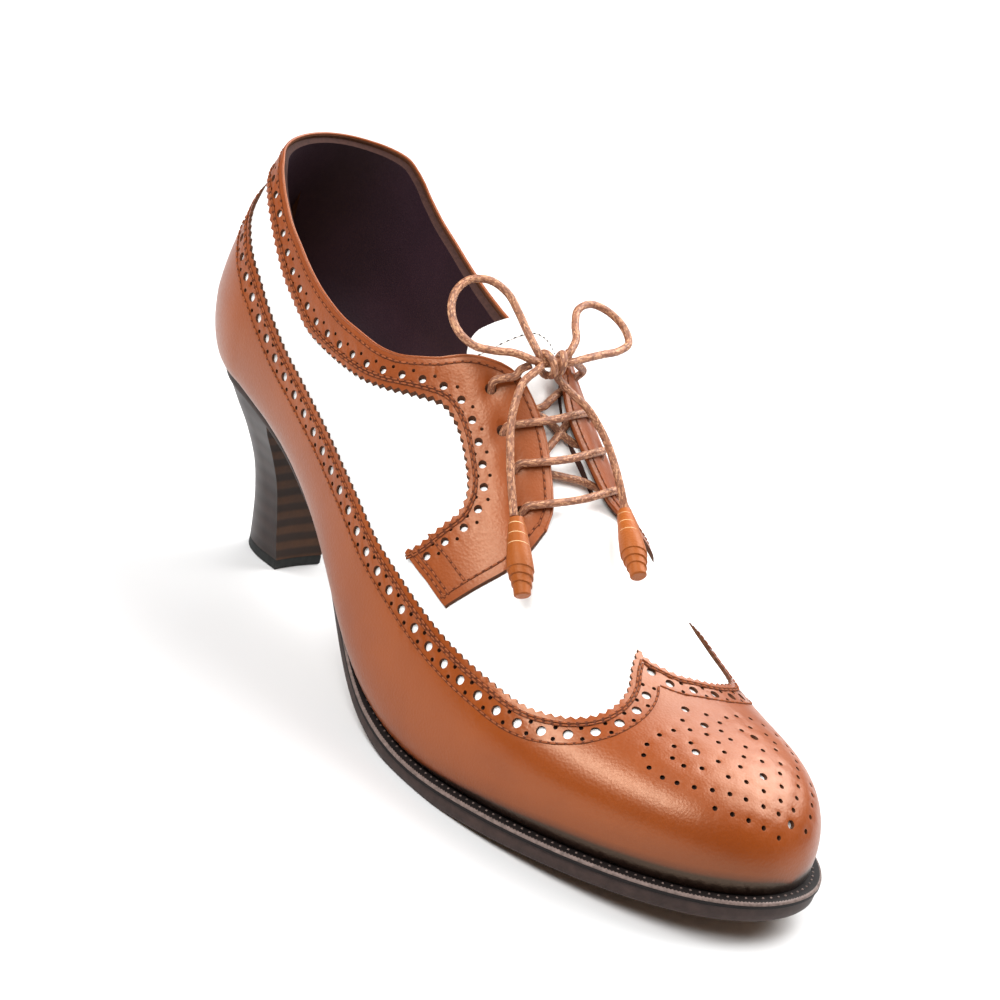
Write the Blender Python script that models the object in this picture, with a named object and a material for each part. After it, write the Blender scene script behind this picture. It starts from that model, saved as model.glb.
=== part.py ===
"""A right lace-up longwing brogue on a high stacked heel.

Every piece grows from one last: a table of cross sections from heel to toe.
A place on the last is (side, a, f): side is -1 lateral or +1 medial, a runs along
the foot in millimetres from the heel axis (negative round the back of the heel), and
f runs up the section from the feather edge (0) to the crest of the instep (1).
"""
import math

import bmesh
import bpy
import numpy as np
from mathutils import Vector
from mathutils.geometry import delaunay_2d_cdt

# Driving sizes in millimetres
HEEL_X = 29.0
TOE_X = 160.0
TIP_X = 222.6
HEEL_ARC = 44.0
TOE_ARC = 80.0
BACK_FEATHER = 25.0
BACK_WIDTH = 32.0
SEAT_RISE = 4.0
BACK_LEAN = 7.5
LEAN_RISE = 45.0
LEAN_TOP = 70.0
LEAN_POWER = 1.5
TOE_POWER = 2.5
TOE_ROUND = 2.1

WALL = 1.8
GAP = 0.3
WING_GAP = 0.5
OVERLAY = 1.0
WELT_LEDGE = 4.5
WAIST_LEDGE = 0.8
WELT_DEPTH = 1.5
WELT_INNER = 8.0
SOLE_DEPTH = 3.6
SEAT_DEPTH = 2.6
INSOLE_DEPTH = 2.0
TONGUE_DEPTH = 1.8
TONGUE_GAP = 0.9
TOP_PIECE_DEPTH = 3.0
CORD = 2.0

# Where the middle of the shoe's box stands in the table's own x and y
ORIGIN = Vector((111.31, 0.53, 0.0))
METRE = 0.001

# Sections of the last, heel to toe
LAST_COLUMNS = ("x", "seat", "lat_feather", "med_feather", "lat_width", "med_width",
                "bulge", "crest", "power", "sway", "axis")
LAST = np.array((
    (29.0, 56.0, 24.5, 24.5, 29.0, 29.0, 17.0, 174.0, 1.40, 0.0, 2.0),
    (55.0, 47.5, 24.8, 23.5, 30.0, 28.6, 17.0, 160.0, 1.65, 1.0, 1.5),
    (80.0, 31.5, 25.7, 20.8, 32.2, 27.8, 17.0, 134.0, 1.85, 2.0, 0.5),
    (100.0, 16.0, 28.7, 22.3, 35.7, 29.8, 17.0, 107.5, 1.80, 3.0, 0.0),
    (120.0, 7.2, 32.8, 27.8, 38.3, 34.3, 16.0, 82.5, 1.85, 3.5, 0.0),
    (140.0, 5.3, 35.3, 33.0, 39.0, 38.0, 14.5, 62.0, 1.95, 3.5, 0.0),
    (160.0, 6.8, 35.5, 34.6, 38.5, 37.9, 13.0, 46.5, 2.05, 2.7, 0.5),
    (180.0, 8.6, 33.4, 32.4, 35.9, 34.9, 12.0, 39.0, 2.15, 1.4, 1.0),
    (200.0, 10.5, 31.8, 30.2, 33.8, 32.2, 11.5, 40.5, 2.25, 0.8, 1.8),
    (222.6, 12.6, 31.0, 28.0, 33.0, 30.0, 11.0, 46.5, 2.30, 0.5, 3.0),
))

# Top line of the upper: the collar, then the edge of the lacing gap on each side
COLLAR = (
    (-44.0, 0.494), (-36.0, 0.493), (-28.0, 0.491), (-20.0, 0.490), (-12.3, 0.486), (-7.7, 0.473),
    (-3.0, 0.457), (0.8, 0.439), (4.0, 0.424), (7.5, 0.411), (13.5, 0.399), (20.3, 0.390),
    (28.0, 0.395), (36.8, 0.423), (44.2, 0.465), (52.4, 0.523), (58.9, 0.585), (64.0, 0.649),
    (68.4, 0.712), (71.6, 0.770),
)
THROAT = {
    -1: ((74.9, 0.823), (78.0, 0.866), (81.9, 0.905), (86.0, 0.922), (90.0, 0.928), (94.0, 0.924),
         (98.0, 0.910), (102.0, 0.890), (105.0, 0.868), (107.4, 0.825)),
    1: ((74.9, 0.850), (78.0, 0.905), (81.9, 0.950), (86.0, 0.970), (90.0, 0.976), (94.0, 0.965),
        (98.0, 0.945), (102.0, 0.925), (105.0, 0.902), (107.4, 0.850)),
}
# Lower edge of the collar band, from the back seam to the tail of the facing
BAND_LINE = (
    (-44.0, 0.424), (-28.0, 0.421), (-18.0, 0.416), (-11.4, 0.409), (-7.3, 0.398), (-2.9, 0.382),
    (0.5, 0.364), (6.0, 0.338), (12.2, 0.315), (22.2, 0.301), (29.3, 0.310), (39.2, 0.354),
    (49.8, 0.426), (58.5, 0.508), (66.5, 0.599), (72.7, 0.668), (76.4, 0.696), (81.5, 0.706),
    (87.3, 0.692), (91.0, 0.667), (92.4, 0.622), (91.3, 0.575), (88.4, 0.478),
)
# Tail of the facing: its two corners and its front edge
TAIL_LINE = ((85.5, 0.425), (94.3, 0.445), (102.7, 0.452), (105.9, 0.545), (108.7, 0.656),
             (108.9, 0.746))
# Upper edge of the long wing, from the back seam along the side
WING_SIDE = (
    (-44.0, 0.392), (-30.0, 0.377), (-22.0, 0.350), (-16.9, 0.331), (-11.4, 0.315), (-4.3, 0.285),
    (2.4, 0.258), (10.0, 0.230), (19.8, 0.210), (29.5, 0.213), (40.0, 0.232), (53.0, 0.273),
    (65.1, 0.320), (75.3, 0.348), (85.1, 0.373), (94.6, 0.386), (104.3, 0.393),
)
# Front of the wing on each side, up to its peak on the toe
WING_FRONT = {
    -1: ((114.7, 0.401), (123.8, 0.411), (131.8, 0.422), (137.3, 0.455), (141.7, 0.515),
         (144.1, 0.600), (143.9, 0.706), (141.7, 0.803), (138.4, 0.873), (135.5, 0.943)),
    1: ((112.0, 0.422), (118.0, 0.470), (124.0, 0.520), (128.0, 0.535), (132.0, 0.528),
        (136.0, 0.510), (139.5, 0.522), (142.2, 0.570), (143.6, 0.640), (144.2, 0.720),
        (143.9, 0.789), (142.8, 0.870), (141.7, 0.933), (139.1, 1.000)),
}
WING_PEAK = ((137.7, 0.970), (136.2, 0.957), (135.0, 0.952))
# Tongue outline on one side: length position and half width in millimetres
TONGUE = ((70.3, 0.5), (70.0, 6.0), (69.0, 12.0), (68.2, 17.0), (68.8, 20.5), (71.5, 22.0), (80.0, 20.5),
          (88.0, 18.0), (95.0, 16.0), (105.0, 14.0), (112.0, 12.0))

# Levels of the heel from the seat (share 1) to the top piece (share 0)
# Columns: share, back, breast, half width, middle
HEEL = (
    (1.00, 3.6, 40.0, 24.0, 2.0),
    (0.88, 7.8, 37.8, 20.8, 2.1),
    (0.72, 11.5, 35.8, 16.7, 2.8),
    (0.52, 13.8, 34.2, 12.9, 3.9),
    (0.32, 14.3, 33.2, 10.5, 4.7),
    (0.14, 13.4, 32.3, 9.1, 5.7),
    (0.00, 11.8, 31.6, 8.0, 6.8),
)

# Eyelet rows: length position, lateral and medial distance from the crest
EYELETS = ((80.0, 18.2, 14.0), (87.3, 17.8, 13.6), (94.2, 17.6, 13.8), (101.5, 19.0, 14.6))

# Routes of the free lace in millimetres, from the knot or the top eyelets outwards
LACE_ROUTES = {
    "lace_lead_left": (
        (110.00, -13.30, 90.80), (110.85, -10.91, 91.81), (111.75, -8.44, 92.54), (111.25, -6.49, 94.09),
        (112.69, -4.95, 95.77),
    ),
    "lace_lead_right": (
        (109.80, 16.60, 91.80), (111.25, 13.09, 94.05), (112.81, 9.42, 95.93), (114.66, 5.53, 96.61),
    ),
    "lace_loop_left": (
        (112.63, -4.01, 99.35), (108.37, -4.41, 102.52), (104.48, -5.10, 106.10), (100.78, -6.54, 109.63),
        (97.10, -9.72, 111.62), (95.12, -14.53, 111.20), (95.92, -19.03, 108.59), (98.74, -21.72, 105.03),
        (102.48, -21.77, 101.34), (106.18, -19.03, 98.82), (108.75, -14.44, 98.29), (110.75, -9.50, 98.25),
        (113.63, -5.16, 97.24),
    ),
    "lace_loop_right": (
        (115.64, 4.26, 100.06), (112.76, 8.14, 101.95), (108.81, 10.71, 104.19), (105.49, 13.90, 106.59),
        (104.79, 18.81, 107.67), (107.18, 23.22, 106.39), (110.62, 26.03, 103.66), (114.50, 25.14, 100.91),
        (115.99, 20.38, 99.54), (116.44, 15.19, 99.17), (116.69, 10.00, 98.61), (116.48, 4.91, 97.51),
    ),
    "lace_end_left": (
        (115.69, -4.99, 95.98), (116.51, -9.80, 93.25), (118.57, -13.04, 89.18), (121.08, -15.30, 84.70),
        (124.08, -16.81, 80.18), (127.18, -18.00, 75.65), (130.39, -18.92, 71.12), (133.64, -19.67, 66.59),
    ),
    "lace_end_right": (
        (115.47, 2.32, 93.03), (118.77, 4.91, 90.39), (122.34, 7.81, 87.84), (125.24, 10.27, 84.19),
        (128.40, 11.89, 80.31), (131.71, 12.55, 76.26), (135.04, 12.72, 72.18), (137.79, 13.15, 67.70),
    ),
}
KNOT = ((113.6, -4.2, 96.6), (116.0, 4.4, 97.3))
KNOT_PROFILE = ((0.0, 1.4), (0.12, 2.5), (0.30, 3.2), (0.44, 2.9), (0.56, 2.9), (0.70, 3.2),
                (0.88, 2.5), (1.0, 1.4))
LACE_TIPS = {
    "lace_tip_left": ((134.2, -19.3, 66.3), (147.7, -24.9, 52.9)),
    "lace_tip_right": ((138.4, 12.7, 67.1), (154.2, 5.9, 57.6)),
}
TIP_PROFILE = (
    (0.00, 1.80), (0.04, 2.00), (0.35, 2.70), (0.62, 3.30), (0.69, 3.30), (0.70, 3.00),
    (0.78, 2.95), (0.79, 2.60), (0.88, 2.50), (0.89, 2.10), (1.00, 2.05),
)

# Derived positions and working sizes
TOE_A = TOE_X - HEEL_X
TIP_A = TOE_A + TOE_ARC
GAP_FRONT = 99.0
GAP_END = 107.0
GAP_SHARE = 0.925
WELT_START = 66.0
WELT_GROWS = 45.0
WELT_LAPS = (50.0, 64.0)
WELT_THIN = 0.4
LEDGE_GROWS = (72.0, 118.0)
SOLE_GROWS = (70.0, 125.0)
STEP_GROWS = (90.0, 120.0)
EDGE_STEP = 0.5
SEAM = 0.4
HEEL_ROUND = 0.7
TOP_PIECE_CHAMFER = 0.5
WELD = 2e-6
CORD_STEP = 2.5
CORD_LIFT = 0.5
BAR_BOW = 3.7
BAR_SHIFT = 0.7
BAR_POINTS = 9
TURNED_SIDES = 12
PANEL_SPACING = 5.0
WING_SPACING = 4.7
EDGE_SPACING = 4.0
RIM_CLEAR = 0.55
SIDE_POWER = 0.9
SHARP = math.radians(35)
CREST = LAST_COLUMNS.index("crest") - 1
UPPER_STATIONS = (8, 19, 5, 13)
UPPER_ROWS = 12
VAMP_STEP = 2.0
WING_STATIONS = (11, 28, 20)
TIP_INSET = 0.5
SOLE_STATIONS = (10, 34, 16)
WELT_STATIONS = (26, 16)
LOW_TURN = np.linspace(0, math.pi / 2, 9)
HIGH_TURN = np.linspace(0, math.pi / 2, 25)[1:]


def spline_curvature(x, y):
    """Second derivatives of a natural cubic spline through the rows of y."""
    count = len(x)
    step = np.diff(x)
    matrix = np.eye(count)
    right = np.zeros_like(y)
    for i in range(1, count - 1):
        matrix[i, i - 1:i + 2] = step[i - 1], 2 * (step[i - 1] + step[i]), step[i]
        right[i] = 6 * ((y[i + 1] - y[i]) / step[i] - (y[i] - y[i - 1]) / step[i - 1])
    return np.linalg.solve(matrix, right)


CURVATURE = spline_curvature(LAST[:, 0], LAST[:, 1:])


def last_columns(x):
    """Columns of the last's table at the positions x, one row each."""
    knots = LAST[:, 0]
    i = np.clip(np.searchsorted(knots, x) - 1, 0, len(knots) - 2)
    width = (knots[i + 1] - knots[i])[:, None]
    t = (x - knots[i])[:, None] / width
    low, high = LAST[i, 1:], LAST[i + 1, 1:]
    bend = ((1 - t) ** 3 - (1 - t)) * CURVATURE[i] + (t ** 3 - t) * CURVATURE[i + 1]
    return (1 - t) * low + t * high + width ** 2 / 6 * bend


def sections(side, a, grow=0.0):
    """Half sections of the last at positions a: an array of (position, point, xyz).

    grow moves the form outwards by that many millimetres.
    """
    heel_turn = np.clip(1 + a / HEEL_ARC, 0, 1) * math.pi / 2
    toe_turn = np.clip((a - TOE_A) / TOE_ARC, 0, 1) * math.pi / 2
    reach = np.sin(toe_turn)
    x = np.where(a <= TOE_A, HEEL_X + np.maximum(a, 0), TOE_X + (TIP_X + grow - TOE_X) * reach)
    columns = last_columns(np.minimum(x, TIP_X)).T
    ahead = last_columns(np.minimum(x + 1, TIP_X))[:, CREST]
    behind = last_columns(np.minimum(x, TIP_X) - 1)[:, CREST]
    steep = np.sqrt(1 + ((ahead - behind) / 2) ** 2)
    seat, lat_feather, med_feather, lat_width, med_width, bulge, crest, power, sway, axis = columns
    back = np.cos(heel_turn)
    taper = np.maximum(1 - reach ** TOE_POWER, 0) ** (1 / TOE_ROUND)
    feather = np.where(side < 0, lat_feather, med_feather)
    width = np.where(side < 0, lat_width, med_width)
    feather = (feather + (BACK_FEATHER - feather) * back ** 2 + grow) * taper
    width = (width + (BACK_WIDTH - width) * back ** 2 + grow) * taper
    crest = seat + (crest + grow * steep - seat) * taper + SEAT_RISE * back
    bulge = bulge * taper
    seat = seat + SEAT_RISE * back
    low = feather[:, None] + (width - feather)[:, None] * np.sin(LOW_TURN)
    low_z = seat[:, None] + bulge[:, None] * (1 - np.cos(LOW_TURN))
    round_power = (2 / power)[:, None]
    high = width[:, None] * np.maximum(np.cos(HIGH_TURN), 0) ** round_power
    high_z = (seat + bulge)[:, None] + (crest - seat - bulge)[:, None] * np.sin(HIGH_TURN) ** round_power
    out = np.concatenate([low, high], 1)
    z = np.concatenate([low_z, high_z], 1)
    share = (z - seat[:, None]) / np.maximum(crest - seat, 0.001)[:, None]
    y = (side * np.sin(heel_turn))[:, None] * out + axis[:, None] + sway[:, None] * np.clip(share, 0, 1)
    rise = np.clip(z - (seat + bulge)[:, None], 0, LEAN_TOP) / LEAN_RISE
    lean = BACK_LEAN * rise ** LEAN_POWER
    return np.stack([x[:, None] + back[:, None] * (lean - out), y, z], 2)


def girths(curves):
    """Length along each half section from its feather edge to every point."""
    steps = np.linalg.norm(np.diff(curves, axis=1), axis=2)
    return np.concatenate([np.zeros((len(curves), 1)), np.cumsum(steps, 1)], 1)


def surface(side, a, f, grow=0.0):
    """Points on the last, grown outwards, at the places (side, a, f)."""
    side, a, f = np.broadcast_arrays(np.asarray(side, float), np.asarray(a, float), np.asarray(f, float))
    side, a, f = side.ravel(), a.ravel(), f.ravel()
    curves = sections(side, a, grow)
    length = girths(curves)
    goal = f * length[:, -1]
    i = np.clip((length < goal[:, None]).sum(1) - 1, 0, length.shape[1] - 2)
    rows = np.arange(len(a))
    step = np.maximum(length[rows, i + 1] - length[rows, i], 1e-9)
    t = ((goal - length[rows, i]) / step)[:, None]
    return curves[rows, i] * (1 - t) + curves[rows, i + 1] * t


def half_girth(side, a):
    """Length of the half sections, feather edge to crest."""
    return girths(sections(side, a))[:, -1]


def smooth(points, spacing):
    """A smooth open curve through the points, about spacing apart."""
    points = np.asarray(points, float)
    padded = np.concatenate([[2 * points[0] - points[1]], points, [2 * points[-1] - points[-2]]])
    curve = []
    for p0, p1, p2, p3 in zip(padded, padded[1:], padded[2:], padded[3:]):
        count = max(1, round(np.linalg.norm(p2 - p1) / spacing))
        for t in np.arange(count) / count:
            curve.append(0.5 * (2 * p1 + (p2 - p0) * t + (2 * p0 - 5 * p1 + 4 * p2 - p3) * t ** 2
                                + (3 * p1 - p0 - 3 * p2 + p3) * t ** 3))
    return np.array(curve + [points[-1]])


def seat_height(x):
    """Height of the last's feather edge over the floor at x."""
    behind = LAST[0, 1] + SEAT_RISE * (HEEL_X - x) / BACK_FEATHER
    ahead = last_columns(np.clip(x, HEEL_X, TIP_X + WELT_LEDGE))[:, 0]
    return np.where(x < HEEL_X, behind, ahead)


def fade(x, start, end):
    """0 before start, 1 after end, smooth between."""
    t = np.clip((x - start) / (end - start), 0, 1)
    return t * t * (3 - 2 * t)


def welt_depth(x):
    return WELT_THIN + (WELT_DEPTH - WELT_THIN) * fade(x, WELT_START, WELT_START + WELT_GROWS)


def ledge(x):
    return WAIST_LEDGE + (WELT_LEDGE - WAIST_LEDGE) * fade(x, *LEDGE_GROWS)


def sole_top(x):
    return seat_height(x) - GAP - (welt_depth(x) + GAP) * fade(x, *WELT_LAPS)


def sole_bottom(x):
    depth = SEAT_DEPTH + (SOLE_DEPTH - SEAT_DEPTH) * fade(x, *SOLE_GROWS)
    return np.maximum(sole_top(x) - depth, 0)


def material(name, colour, roughness):
    made = bpy.data.materials.new(name)
    made.use_nodes = True
    shader = made.node_tree.nodes["Principled BSDF"]
    shader.inputs["Base Color"].default_value = (*colour, 1.0)
    shader.inputs["Roughness"].default_value = roughness
    shader.inputs["Metallic"].default_value = 0.0
    return made


def add_solid(name, points, faces, finish):
    """A closed mesh object from points in millimetres."""
    mesh = bpy.data.meshes.new(name)
    placed = [(Vector(p) - ORIGIN) * METRE for p in points]
    mesh.from_pydata(placed, [], faces)
    work = bmesh.new()
    work.from_mesh(mesh)
    bmesh.ops.remove_doubles(work, verts=work.verts, dist=WELD)
    bmesh.ops.dissolve_degenerate(work, edges=work.edges, dist=WELD)
    bmesh.ops.triangulate(work, faces=work.faces)
    bmesh.ops.recalc_face_normals(work, faces=work.faces)
    work.to_mesh(mesh)
    work.free()
    mesh.shade_smooth()
    mesh.set_sharp_from_angle(angle=SHARP)
    mesh.materials.append(finish)
    made = bpy.data.objects.new(name, mesh)
    bpy.context.scene.collection.objects.link(made)
    return made


class Grid:
    """Collects rows of points and the faces between them."""

    def __init__(self):
        self.points = []
        self.faces = []

    def row(self, points):
        start = len(self.points)
        self.points.extend(map(tuple, points))
        return list(range(start, len(self.points)))

    def strip(self, low, high):
        for i in range(len(low) - 1):
            self.faces.append((low[i], low[i + 1], high[i + 1], high[i]))

    def ring(self, low, high):
        self.strip(low + low[:1], high + high[:1])


def top_line(side):
    return smooth(COLLAR + THROAT[side], EDGE_SPACING)


def make_upper(finish):
    """The hollow wall: open at the collar, the lacing gap and underneath."""
    grid = Grid()
    heel_count, side_count, vamp_count, toe_count = UPPER_STATIONS
    stations = np.concatenate([np.linspace(-HEEL_ARC, 0, heel_count)[:-1],
                               np.linspace(0, GAP_END, side_count),
                               np.linspace(GAP_END + VAMP_STEP, TOE_A, vamp_count),
                               np.linspace(TOE_A, TIP_A, toe_count)[1:]])
    even = np.linspace(0, 1, UPPER_ROWS)
    rows = (even + np.sin(even * math.pi / 2)) / 2
    for side in (-1, 1):
        line_a, line_f = top_line(side).T
        tops = np.where(stations <= GAP_FRONT, np.interp(stations, line_a, line_f), GAP_SHARE)
        tops[stations > GAP_END] = 1.0
        walls = []
        for grow in (0.0, -WALL):
            columns = [grid.row(surface(side, np.full(len(rows), a), rows * top, grow))
                       for a, top in zip(stations, tops)]
            for near, far in zip(columns, columns[1:]):
                grid.strip(near, far)
            walls.append(columns)
        outer, inner = walls
        grid.strip([c[0] for c in outer], [c[0] for c in inner])
        open_edge = int(np.sum(stations <= GAP_END)) + 1
        grid.strip([c[-1] for c in outer[:open_edge]], [c[-1] for c in inner[:open_edge]])
    return add_solid("upper", grid.points, grid.faces, finish)


def inside(points, outline):
    """Which points lie inside a closed outline."""
    x, y = points[:, :1], points[:, 1:]
    x0, y0 = outline.T
    x1, y1 = np.roll(outline, -1, 0).T
    crossing = ((y0 > y) != (y1 > y)) & (x < (x1 - x0) * (y - y0) / np.where(y1 == y0, 1e-9, y1 - y0) + x0)
    return crossing.sum(1) % 2 == 1


def make_panel(name, outline, low, high, spacing, finish):
    """A sheet on the last between two grown forms, inside an outline of (a, from crest)."""
    lowest, highest = outline.min(0), outline.max(0)
    fill_a, fill_v = np.meshgrid(np.arange(lowest[0], highest[0], spacing),
                                 np.arange(lowest[1], highest[1], spacing))
    fill = np.stack([fill_a.ravel(), fill_v.ravel()], 1)
    fill = fill[inside(fill, outline)]
    clear = np.linalg.norm(fill[:, None] - outline[None], axis=2).min(1) > RIM_CLEAR * spacing
    flat = np.concatenate([outline, fill[clear]])
    count = len(outline)
    edges = [(i, (i + 1) % count) for i in range(count)]
    places, _, faces, *_ = delaunay_2d_cdt([Vector(p) for p in flat], edges, [], 1, 1e-6)
    places = np.array([tuple(p) for p in places])
    side = np.where(places[:, 1] < 0, -1.0, 1.0)
    f = 1 - np.abs(places[:, 1]) / np.maximum(half_girth(side, places[:, 0]), 0.001)
    f = np.clip(f, 0, 1)
    total = len(places)
    points = np.concatenate([surface(side, places[:, 0], f, high), surface(side, places[:, 0], f, low)])
    sheets = [tuple(face) for face in faces] + [tuple(i + total for i in reversed(face)) for face in faces]
    used = {}
    for face in faces:
        for i, j in zip(face, face[1:] + face[:1]):
            used[(i, j)] = True
    rim = [(i, j) for i, j in used if (j, i) not in used]
    walls = [(j, i, i + total, j + total) for i, j in rim]
    return add_solid(name, points, sheets + walls, finish)


def from_crest(side, line):
    """Turn (a, f) places on one side into flat (a, signed distance from the crest)."""
    a, f = line.T
    return np.stack([a, side * (1 - f) * half_girth(np.full(len(a), float(side)), a)], 1)


def make_wing(finish):
    """The long wing that wraps the toe and runs low along both sides to the back seam."""
    heel_count, side_count, toe_count = WING_STATIONS
    feather_a = np.concatenate([np.linspace(-HEEL_ARC + SEAM, 0, heel_count),
                                np.linspace(0, TOE_A, side_count)[1:],
                                np.linspace(TOE_A, TIP_A - TIP_INSET, toe_count)[1:]])
    feather = np.stack([feather_a, np.zeros(len(feather_a))], 1)
    edges = {}
    for side in (-1, 1):
        line = smooth(WING_SIDE + WING_FRONT[side], EDGE_SPACING)
        line[0, 0] += SEAM
        edges[side] = from_crest(side, line)
    outline = np.concatenate([from_crest(-1, feather), from_crest(1, feather)[::-1], edges[1],
                              from_crest(-1, np.array(WING_PEAK)), edges[-1][::-1]])
    return make_panel("wing_overlay", outline, WING_GAP, WING_GAP + OVERLAY, WING_SPACING, finish)


def make_facing(name, side, finish):
    """Collar band, lacing facing and tail of one side, in one piece."""
    collar = top_line(side)
    tail = np.array(TAIL_LINE)
    band = smooth(BAND_LINE, EDGE_SPACING)
    collar[0, 0] += SEAM
    band[0, 0] += SEAM
    line = np.concatenate([collar, tail[::-1], band[::-1]])
    return make_panel(name, from_crest(side, line), GAP, GAP + OVERLAY, PANEL_SPACING, finish)


def make_tongue(finish):
    edge = smooth(TONGUE, EDGE_SPACING)
    outline = np.concatenate([edge * (1, -1), edge[::-1]])
    high = -WALL - TONGUE_GAP
    return make_panel("tongue", outline, high - TONGUE_DEPTH, high, PANEL_SPACING, finish)


def plan_edge(side, a, grow):
    """Feather edge in plan, moved outwards."""
    return sections(np.full(len(a), float(side)), a, grow)[:, 0, :2]


def make_plate(name, a, grow, top, bottom, finish):
    """A sole-shaped plate: straight across, curved along its length."""
    grid = Grid()
    edges = {}
    for side in (-1, 1):
        plan = np.concatenate([plan_edge(side, a[i:i + 1], float(g)) for i, g in enumerate(grow)])
        for level, height in (("top", top), ("bottom", bottom)):
            edges[side, level] = grid.row(np.column_stack([plan, height(plan[:, 0])]))
    grid.strip(edges[-1, "top"], edges[1, "top"])
    grid.strip(edges[1, "bottom"], edges[-1, "bottom"])
    grid.strip(edges[-1, "bottom"], edges[-1, "top"])
    grid.strip(edges[1, "top"], edges[1, "bottom"])
    return add_solid(name, grid.points, grid.faces, finish)


def sole_stations():
    heel_count, side_count, toe_count = SOLE_STATIONS
    return np.concatenate([np.linspace(-HEEL_ARC, 0, heel_count)[:-1], np.linspace(0, TOE_A, side_count),
                           np.linspace(TOE_A, TIP_A, toe_count)[1:]])


def make_outsole(finish):
    a = sole_stations()
    x = sections(np.full(len(a), 1.0), a)[:, 0, 0]
    grow = ledge(x) - EDGE_STEP * fade(x, *STEP_GROWS)
    return make_plate("outsole", a, grow, sole_top, sole_bottom, finish)


def make_insole(finish):
    a = sole_stations()
    grow = np.full(len(a), -WALL - 1.5 * GAP)
    return make_plate("insole", a, grow, lambda x: seat_height(x) + INSOLE_DEPTH, seat_height, finish)


def make_welt(finish):
    """The welt: a strip from waist to waist round the toe, with its stitched ledge outside."""
    side_count, toe_count = WELT_STATIONS
    one_side = np.concatenate([np.linspace(WELT_START - HEEL_X, TOE_A, side_count),
                               np.linspace(TOE_A, TIP_A, toe_count)[1:]])
    route = [(-1, a) for a in one_side] + [(1, a) for a in one_side[-2::-1]]
    grid = Grid()
    rows = []
    for side, a in route:
        place = np.array([a])
        x = sections(np.array([1.0]), place)[0, 0, 0]
        points = []
        for grow in (float(ledge(x)), -WELT_INNER):
            plan = plan_edge(side, place, grow)[0]
            top = float(seat_height(plan[:1])[0]) - GAP
            depth = float(welt_depth(plan[0]))
            points.append((*plan, top, depth))
        outer, inner = points
        rows.append(grid.row([(*outer[:3],), (*outer[:2], outer[2] - outer[3]),
                              (*inner[:2], inner[2] - inner[3]), (*inner[:3],)]))
    for near, far in zip(rows, rows[1:]):
        grid.ring(near, far)
    grid.faces.append(tuple(rows[0]))
    grid.faces.append(tuple(reversed(rows[-1])))
    return add_solid("welt", grid.points, grid.faces, finish)


def heel_outline(back, breast, half_width, middle):
    """Plan of the heel at one level: round behind, straight across the breast."""
    turn = np.linspace(0, math.pi / 2, 9)
    start = back + HEEL_ROUND * (breast - back)
    x = np.concatenate([start - (start - back) * np.cos(turn), np.linspace(start, breast, 5)[1:]])
    y = np.concatenate([half_width * np.sin(turn) ** SIDE_POWER, np.full(4, half_width)])
    return x, middle - y, middle + y


def make_heel_level(grid, level, height):
    share, *plan = level
    x, lateral, medial = heel_outline(*plan)
    z = height(x, share)
    return grid.row(np.column_stack([x, lateral, z])), grid.row(np.column_stack([x, medial, z]))


def make_heel(finish):
    """Stacked heel: flush with the seat above, waisted, and flared again at the floor."""
    foot = TOP_PIECE_DEPTH + GAP

    def height(x, share):
        return foot + share * (sole_bottom(x) - GAP - foot)

    grid = Grid()
    levels = smooth(HEEL, 1.8)
    sides = [make_heel_level(grid, level, height) for level in levels]
    close_heel(grid, sides)
    return add_solid("heel_block", grid.points, grid.faces, finish)


def make_top_piece(finish):
    grid = Grid()
    foot = HEEL[-1]
    sides = [make_heel_level(grid, foot, lambda x, share: np.full(len(x), z))
             for z in (TOP_PIECE_DEPTH, TOP_PIECE_CHAMFER)]
    rim = (foot[0], foot[1] + TOP_PIECE_CHAMFER, foot[2] - TOP_PIECE_CHAMFER,
           foot[3] - TOP_PIECE_CHAMFER, foot[4])
    sides.append(make_heel_level(grid, rim, lambda x, share: np.zeros(len(x))))
    close_heel(grid, sides)
    return add_solid("heel_top_piece", grid.points, grid.faces, finish)


def close_heel(grid, sides):
    """Join the levels of a heel, its breast and its two ends."""
    for (lat_high, med_high), (lat_low, med_low) in zip(sides, sides[1:]):
        grid.strip(lat_high, lat_low)
        grid.strip(med_low, med_high)
        grid.faces.append((lat_high[-1], lat_low[-1], med_low[-1], med_high[-1]))
    grid.strip(sides[0][1], sides[0][0])
    grid.strip(sides[-1][0], sides[-1][1])


def make_cord(name, route, finish):
    """A round cord along a smooth curve through its route."""
    path = smooth(route, CORD_STEP * CORD)
    curve = bpy.data.curves.new(name, "CURVE")
    curve.dimensions = "3D"
    curve.bevel_depth = CORD / 2 * METRE
    curve.bevel_resolution = 2
    curve.use_fill_caps = True
    spline = curve.splines.new("POLY")
    spline.points.add(len(path) - 1)
    for point, place in zip(spline.points, path):
        point.co = (*((Vector(place) - ORIGIN) * METRE), 1.0)
    curve.materials.append(finish)
    made = bpy.data.objects.new(name, curve)
    bpy.context.scene.collection.objects.link(made)
    return made


def make_lace_bars(finish):
    """Straight bars of lace over rows two to four, lying on the facings."""
    rise = GAP + OVERLAY + CORD_LIFT + CORD / 2
    for row, (a, lat_reach, med_reach) in enumerate(EYELETS[1:], start=2):
        share = np.linspace(-1, 1, BAR_POINTS)
        reach = (med_reach - lat_reach) / 2 + share * (med_reach + lat_reach) / 2
        side = np.where(reach < 0, -1.0, 1.0)
        forward = a + BAR_SHIFT + BAR_BOW * (1 - share ** 2)
        f = 1 - np.abs(reach) / half_girth(side, forward)
        make_cord("lace_bar_%d" % row, surface(side, forward, f, rise), finish)


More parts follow.
